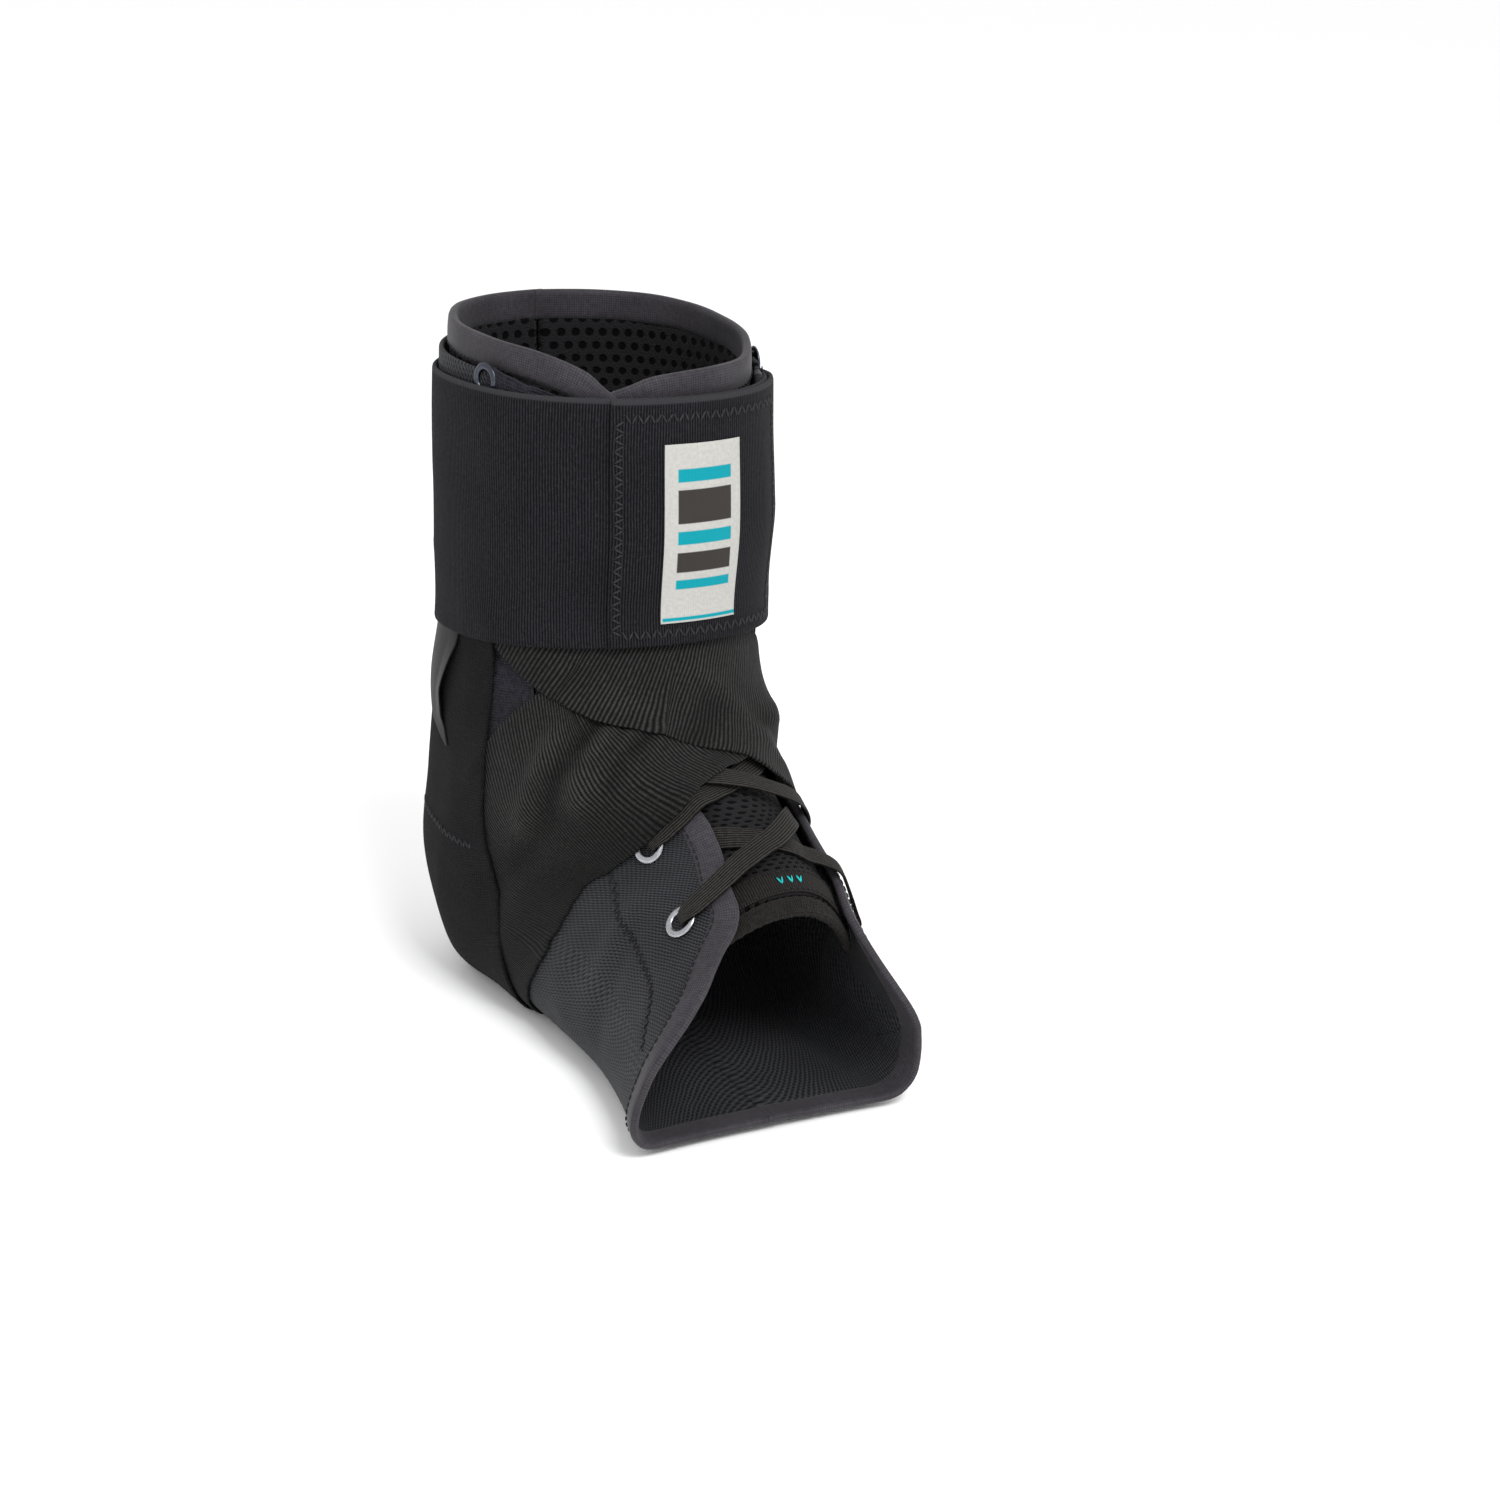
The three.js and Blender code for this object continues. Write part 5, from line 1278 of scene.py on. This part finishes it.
# %% [markdown]
# ## Stitches
# Lockstitch holds the bindings and zigzag holds the cuff. A relief in the finish could draw
# them, but thread stands proud and catches light. They repeat along a line, so Geometry Nodes
# set them out: the tree walks a line at the stitch spacing, places a short thread on each step,
# turns every other one for a zigzag, and gives the result the thread's material.

# %% Stitch tree
def stitch_tree():
    """Node group that sets threads along a line whose points know their way out."""
    tree = bpy.data.node_groups.new("stitches", "GeometryNodeTree")
    node = partial(add, tree)
    sockets = tree.interface
    sockets.new_socket("Geometry", in_out="OUTPUT", socket_type="NodeSocketGeometry")
    sockets.new_socket("Line", in_out="INPUT", socket_type="NodeSocketGeometry")
    for label, value in (("Spacing", 0.0026), ("Stitch length", 0.0022), ("Thread width", 0.0006),
                         ("Zigzag angle", 0.0), ("Unevenness", 0.06)):
        socket = sockets.new_socket(label, in_out="INPUT", socket_type="NodeSocketFloat")
        socket.default_value = value
    sockets.new_socket("Seed", in_out="INPUT", socket_type="NodeSocketInt").default_value = 3
    sockets.new_socket("Thread", in_out="INPUT", socket_type="NodeSocketMaterial")
    given = node("NodeGroupInput").outputs

    # Steps along the line, and one short thread
    curve = node("GeometryNodeMeshToCurve", {"Mesh": given["Line"]})
    steps = node("GeometryNodeResampleCurve", {"Curve": curve, "Length": given["Spacing"]}, mode="LENGTH")
    ball = node("GeometryNodeMeshUVSphere", {"Segments": 6, "Rings": 5, "Radius": 0.5})
    width = given["Thread width"]
    size = node("ShaderNodeCombineXYZ", (given["Stitch length"], width, width))
    stitch = node("GeometryNodeTransform", {"Geometry": ball, "Scale": size})

    # Each thread points down the line and stands upright on the cloth
    tangent = node("GeometryNodeInputTangent")
    outward = node("GeometryNodeInputNamedAttribute", {"Name": "outward"}, data_type="FLOAT_VECTOR")
    ahead = node("FunctionNodeAlignRotationToVector", {"Vector": tangent}, axis="X")
    upright = node("FunctionNodeAlignRotationToVector", {"Rotation": ahead, "Vector": outward},
                   axis="Z", pivot_axis="X")

    # Every other one turns the other way, and none is quite straight
    number = node("GeometryNodeInputIndex")
    parity = node(MATH, (number, 2.0), operation="MODULO")
    sign = node(MATH, (parity, 2.0, -1.0), operation="MULTIPLY_ADD")
    angle = node(MATH, (sign, given["Zigzag angle"]), operation="MULTIPLY")
    least = node(MATH, (given["Unevenness"], -1.0), operation="MULTIPLY")
    jitter = node("FunctionNodeRandomValue",
                  {"Min": least, "Max": given["Unevenness"], "Seed": given["Seed"]}, data_type="FLOAT")
    total = node(MATH, (angle, jitter.outputs["Value"]), operation="ADD")
    turn = node("ShaderNodeCombineXYZ", {2: total})
    turned = node("FunctionNodeRotateRotation", (upright, turn), rotation_space="LOCAL")

    placed = node("GeometryNodeInstanceOnPoints", {"Points": steps, "Instance": stitch, "Rotation": turned})
    real = node("GeometryNodeRealizeInstances", {"Geometry": placed})
    coloured = node("GeometryNodeSetMaterial", {"Geometry": real, "Material": given["Thread"]})
    node("NodeGroupOutput", {"Geometry": coloured})
    return tree


stitches = stitch_tree()
stitch_inputs = {item.name: item.identifier for item in stitches.interface.items_tree
                 if item.in_out == "INPUT"}
print("the stitch tree has", len(stitches.nodes), "nodes")

# %% [markdown]
# ## Sewing
# A row of stitches is a line on top of the cloth. Its points carry the way out as an attribute,
# the tree turns it into threads, and the result is kept as a plain mesh, because a live
# modifier or an instance wouldn't reach the exported model.

# %% Sewing along lines
def sew(name, lines, finish, spacing=2.6, length=2.2, width=0.55, zigzag=0.0, lift=0.1):
    """Stitches along lines given as arrays of along, around and height. Sizes are in mm."""
    corners, edges, outward = [], [], []
    for line in lines:
        first = len(corners)
        corners += place(line[:, 0], line[:, 1], line[:, 2] + lift).tolist()
        outward += directions(line[:, 0], line[:, 1])[2].tolist()
        edges += [(k, k + 1) for k in range(first, len(corners) - 1)]
    mesh = bpy.data.meshes.new(f"{name}_lines")
    mesh.from_pydata(corners, edges, [])
    values = mesh.attributes.new("outward", "FLOAT_VECTOR", "POINT")
    values.data.foreach_set("vector", np.array(outward, np.float32).ravel())
    source = link(f"{name}_lines", mesh)
    modifier = source.modifiers.new("stitches", "NODES")
    modifier.node_group = stitches
    for label, value in (("Spacing", spacing / 1000), ("Stitch length", length / 1000),
                         ("Thread width", width / 1000), ("Zigzag angle", zigzag), ("Thread", finish)):
        modifier[stitch_inputs[label]] = value
    bpy.context.view_layer.update()
    evaluated = source.evaluated_get(bpy.context.evaluated_depsgraph_get())
    result = bpy.data.meshes.new_from_object(evaluated)
    bpy.data.objects.remove(source)
    result.name = name
    result.materials.clear()
    result.materials.append(finish)
    result.shade_smooth()
    if not result.uv_layers:
        result.uv_layers.new(name="weave")
    pieces[name] = link(name, result)
    print(name, len(result.polygons), "faces")


def on_map(line, field=None, level=None):
    """A line lifted to the top of the cloth, or to one level."""
    height = read_map(field, line[:, 0], line[:, 1]) if level is None else np.full(len(line), level)
    return np.stack([line[:, 0], line[:, 1], height], -1)


def flat_line(rows, count=60):
    """Straight steps from place to place."""
    rows = np.asarray(rows, float)
    t = np.linspace(0, len(rows) - 1, count)
    return np.stack([np.interp(t, np.arange(len(rows)), rows[:, k]) for k in (0, 1)], -1)


# %% Stitches of the bindings and the seams
ZIGZAG = 1.05  # radians that each thread turns from its line
ON_BINDING, ON_BAND, ON_RIM = 0.72, TONGUE_OUTSIDE + 0.95, 0.45  # mm
for side, sense in SIDES.items():
    edge = bound_edge(side, 400)
    tape_line = offset_line(edge, sense * (BINDING_WIDTH - 1.2))
    tape_line = tape_line[np.abs(tape_line[:, 1]) < 165]
    sew(f"stitches_binding_{side}", [on_map(tape_line, level=ON_BINDING)], black_thread, 2.4, 2.0, 0.5)
    sew(f"stitches_seam_{side}", [on_map(seams[side], quarter_map)], black_thread, 1.5, 3.0, 0.6,
        zigzag=ZIGZAG, lift=0.12)

# %% Zigzags of the cuff's free end and of the strap
top_map = blur(heights, 1.0, 2)
CUFF_BORDER = [[[32, 21], [97, 21]], [[30.8, 18], [30.8, -50]],
               [[98, 18], [98, -50]], [[32, -52], [97, -52]]]
sew("stitches_cuff", [on_map(flat_line(rows), top_map) for rows in CUFF_BORDER],
    charcoal_thread, 1.7, 3.4, 0.6, zigzag=ZIGZAG)
STRAP_ROW = [[150, 119], [154, 108], [158.5, 98.5], [165, 89.5]]
sew("stitches_straps", [on_map(flat_line(STRAP_ROW), top_map)], charcoal_thread, 1.5, 2.8, 0.55,
    zigzag=ZIGZAG, lift=0.05)

# %% Stitches of the rim and the band
rim_low = offset_line(rim_line, -RIM_WIDTH + 1.3)
rim_low = rim_low[np.abs(rim_low[:, 1]) < 178]
rim_height = tongue_level(rim_low[:, 0]) + ON_RIM
sew("stitches_rim", [np.column_stack([rim_low, rim_height])[5:-5]], black_thread, 2.4, 2.0, 0.5)
band_rows = [on_map(offset_line(band_line, -distance), level=ON_BAND) for distance in (1.4, 7.6)]
sew("stitches_band", band_rows, black_thread, 2.0, 1.6, 0.45)
middle_line = offset_line(band_line, -4.5)
tacks = [on_map(middle_line[np.abs(middle_line[:, 1] - turn) < 1.6], level=ON_BAND) for turn in (-2, -8, -14)]
sew("stitches_teal", tacks, teal_thread, 0.6, 2.6, 0.5, zigzag=1.2)

# %% [markdown]
# ## Riding on the body
# Cloth, laces and straps bend, but nothing on the brace turns on a hinge, so every piece rides on
# its one body. Each piece takes the place of the CAD node that it stands for. The stitches and
# the loop fabric stand for none and ride along.

# %% Ride on the body
REPLACED = {
    "tongue_lining_mesh": "tongue_lining", "rim_left": "rim_binding", "tongue_edge_knit": "tongue_edge",
    "tongue_band_tape": "tongue_band", "elastic_cuff_band": "elastic_cuff",
    "front_label_satin": "front_label", "side_tag_ribbon": "side_tag",
}
for side in SIDES:
    REPLACED[f"quarter_{side}_cloth"] = f"quarter_{side}"
    REPLACED[f"binding_{side}_tape"] = f"binding_{side}"
    REPLACED[f"strap_{side}_webbing"] = f"strap_{side}"
    REPLACED[f"lace_{side}_cord"] = f"lace_{side}"
    for number in range(1, 6):
        REPLACED[f"eyelet_{side}_{number}_ring"] = f"eyelet_{side}_{number}"
for name, piece in pieces.items():
    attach(piece, "root")
    if name in REPLACED:
        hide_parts(REPLACED[name])
print(len(pieces), "pieces ride on the body and", len(REPLACED), "stand for CAD nodes")

# %% [markdown]
# ## Floor and light
# The photograph has a white ground and light from all sides, with hardly a shadow. One strong
# lamp would make the folds plain but the cloth grey, so a pale world and a wide ceiling do most
# of the work, and a small key light gives the eyelets and the crests their shine.

# %% Floor, light and world
floor_mesh = bpy.data.meshes.new("floor")
floor_mesh.from_pydata([(-9, -9, 0), (9, -9, 0), (9, 9, 0), (-9, 9, 0)], [], [(0, 1, 2, 3)])
floor = link("floor", floor_mesh)
# Matt paper: a white background roll, so dull that it shows no reflection.
paper = bpy.data.materials.new("matt_paper")
paper.use_nodes = True
paper_shader = paper.node_tree.nodes["Principled BSDF"]
paper_shader.inputs["Base Color"].default_value = linear("#ffffff")
paper_shader.inputs["Roughness"].default_value = 0.9
floor_mesh.materials.append(paper)

world = bpy.data.worlds.new("studio")
world.use_nodes = True
world.node_tree.nodes["Background"].inputs["Color"].default_value = linear("#ffffff")
world.node_tree.nodes["Background"].inputs["Strength"].default_value = 0.93
bpy.context.scene.world = world


def soft_light(name, position, size, power):
    """A square lamp, in metres and watts, that faces the middle of the brace."""
    data = bpy.data.lights.new(name, "AREA")
    data.shape = "SQUARE"
    data.size = size
    data.energy = power
    lamp = bpy.data.objects.new(name, data)
    bpy.context.scene.collection.objects.link(lamp)
    lamp.location = position
    aim = Vector((0, 0, 0.1)) - Vector(position)
    lamp.rotation_euler = aim.to_track_quat("-Z", "Y").to_euler()


soft_light("key", (1.15, -0.1, 1.35), 0.6, 20)
soft_light("fill", (0.9, -1.2, 0.7), 0.9, 2)
soft_light("ceiling", (0, 0, 6), 24, 150)
bpy.context.scene.view_settings.view_transform = "Standard"

print("lights:", [lamp.name for lamp in bpy.data.lights])
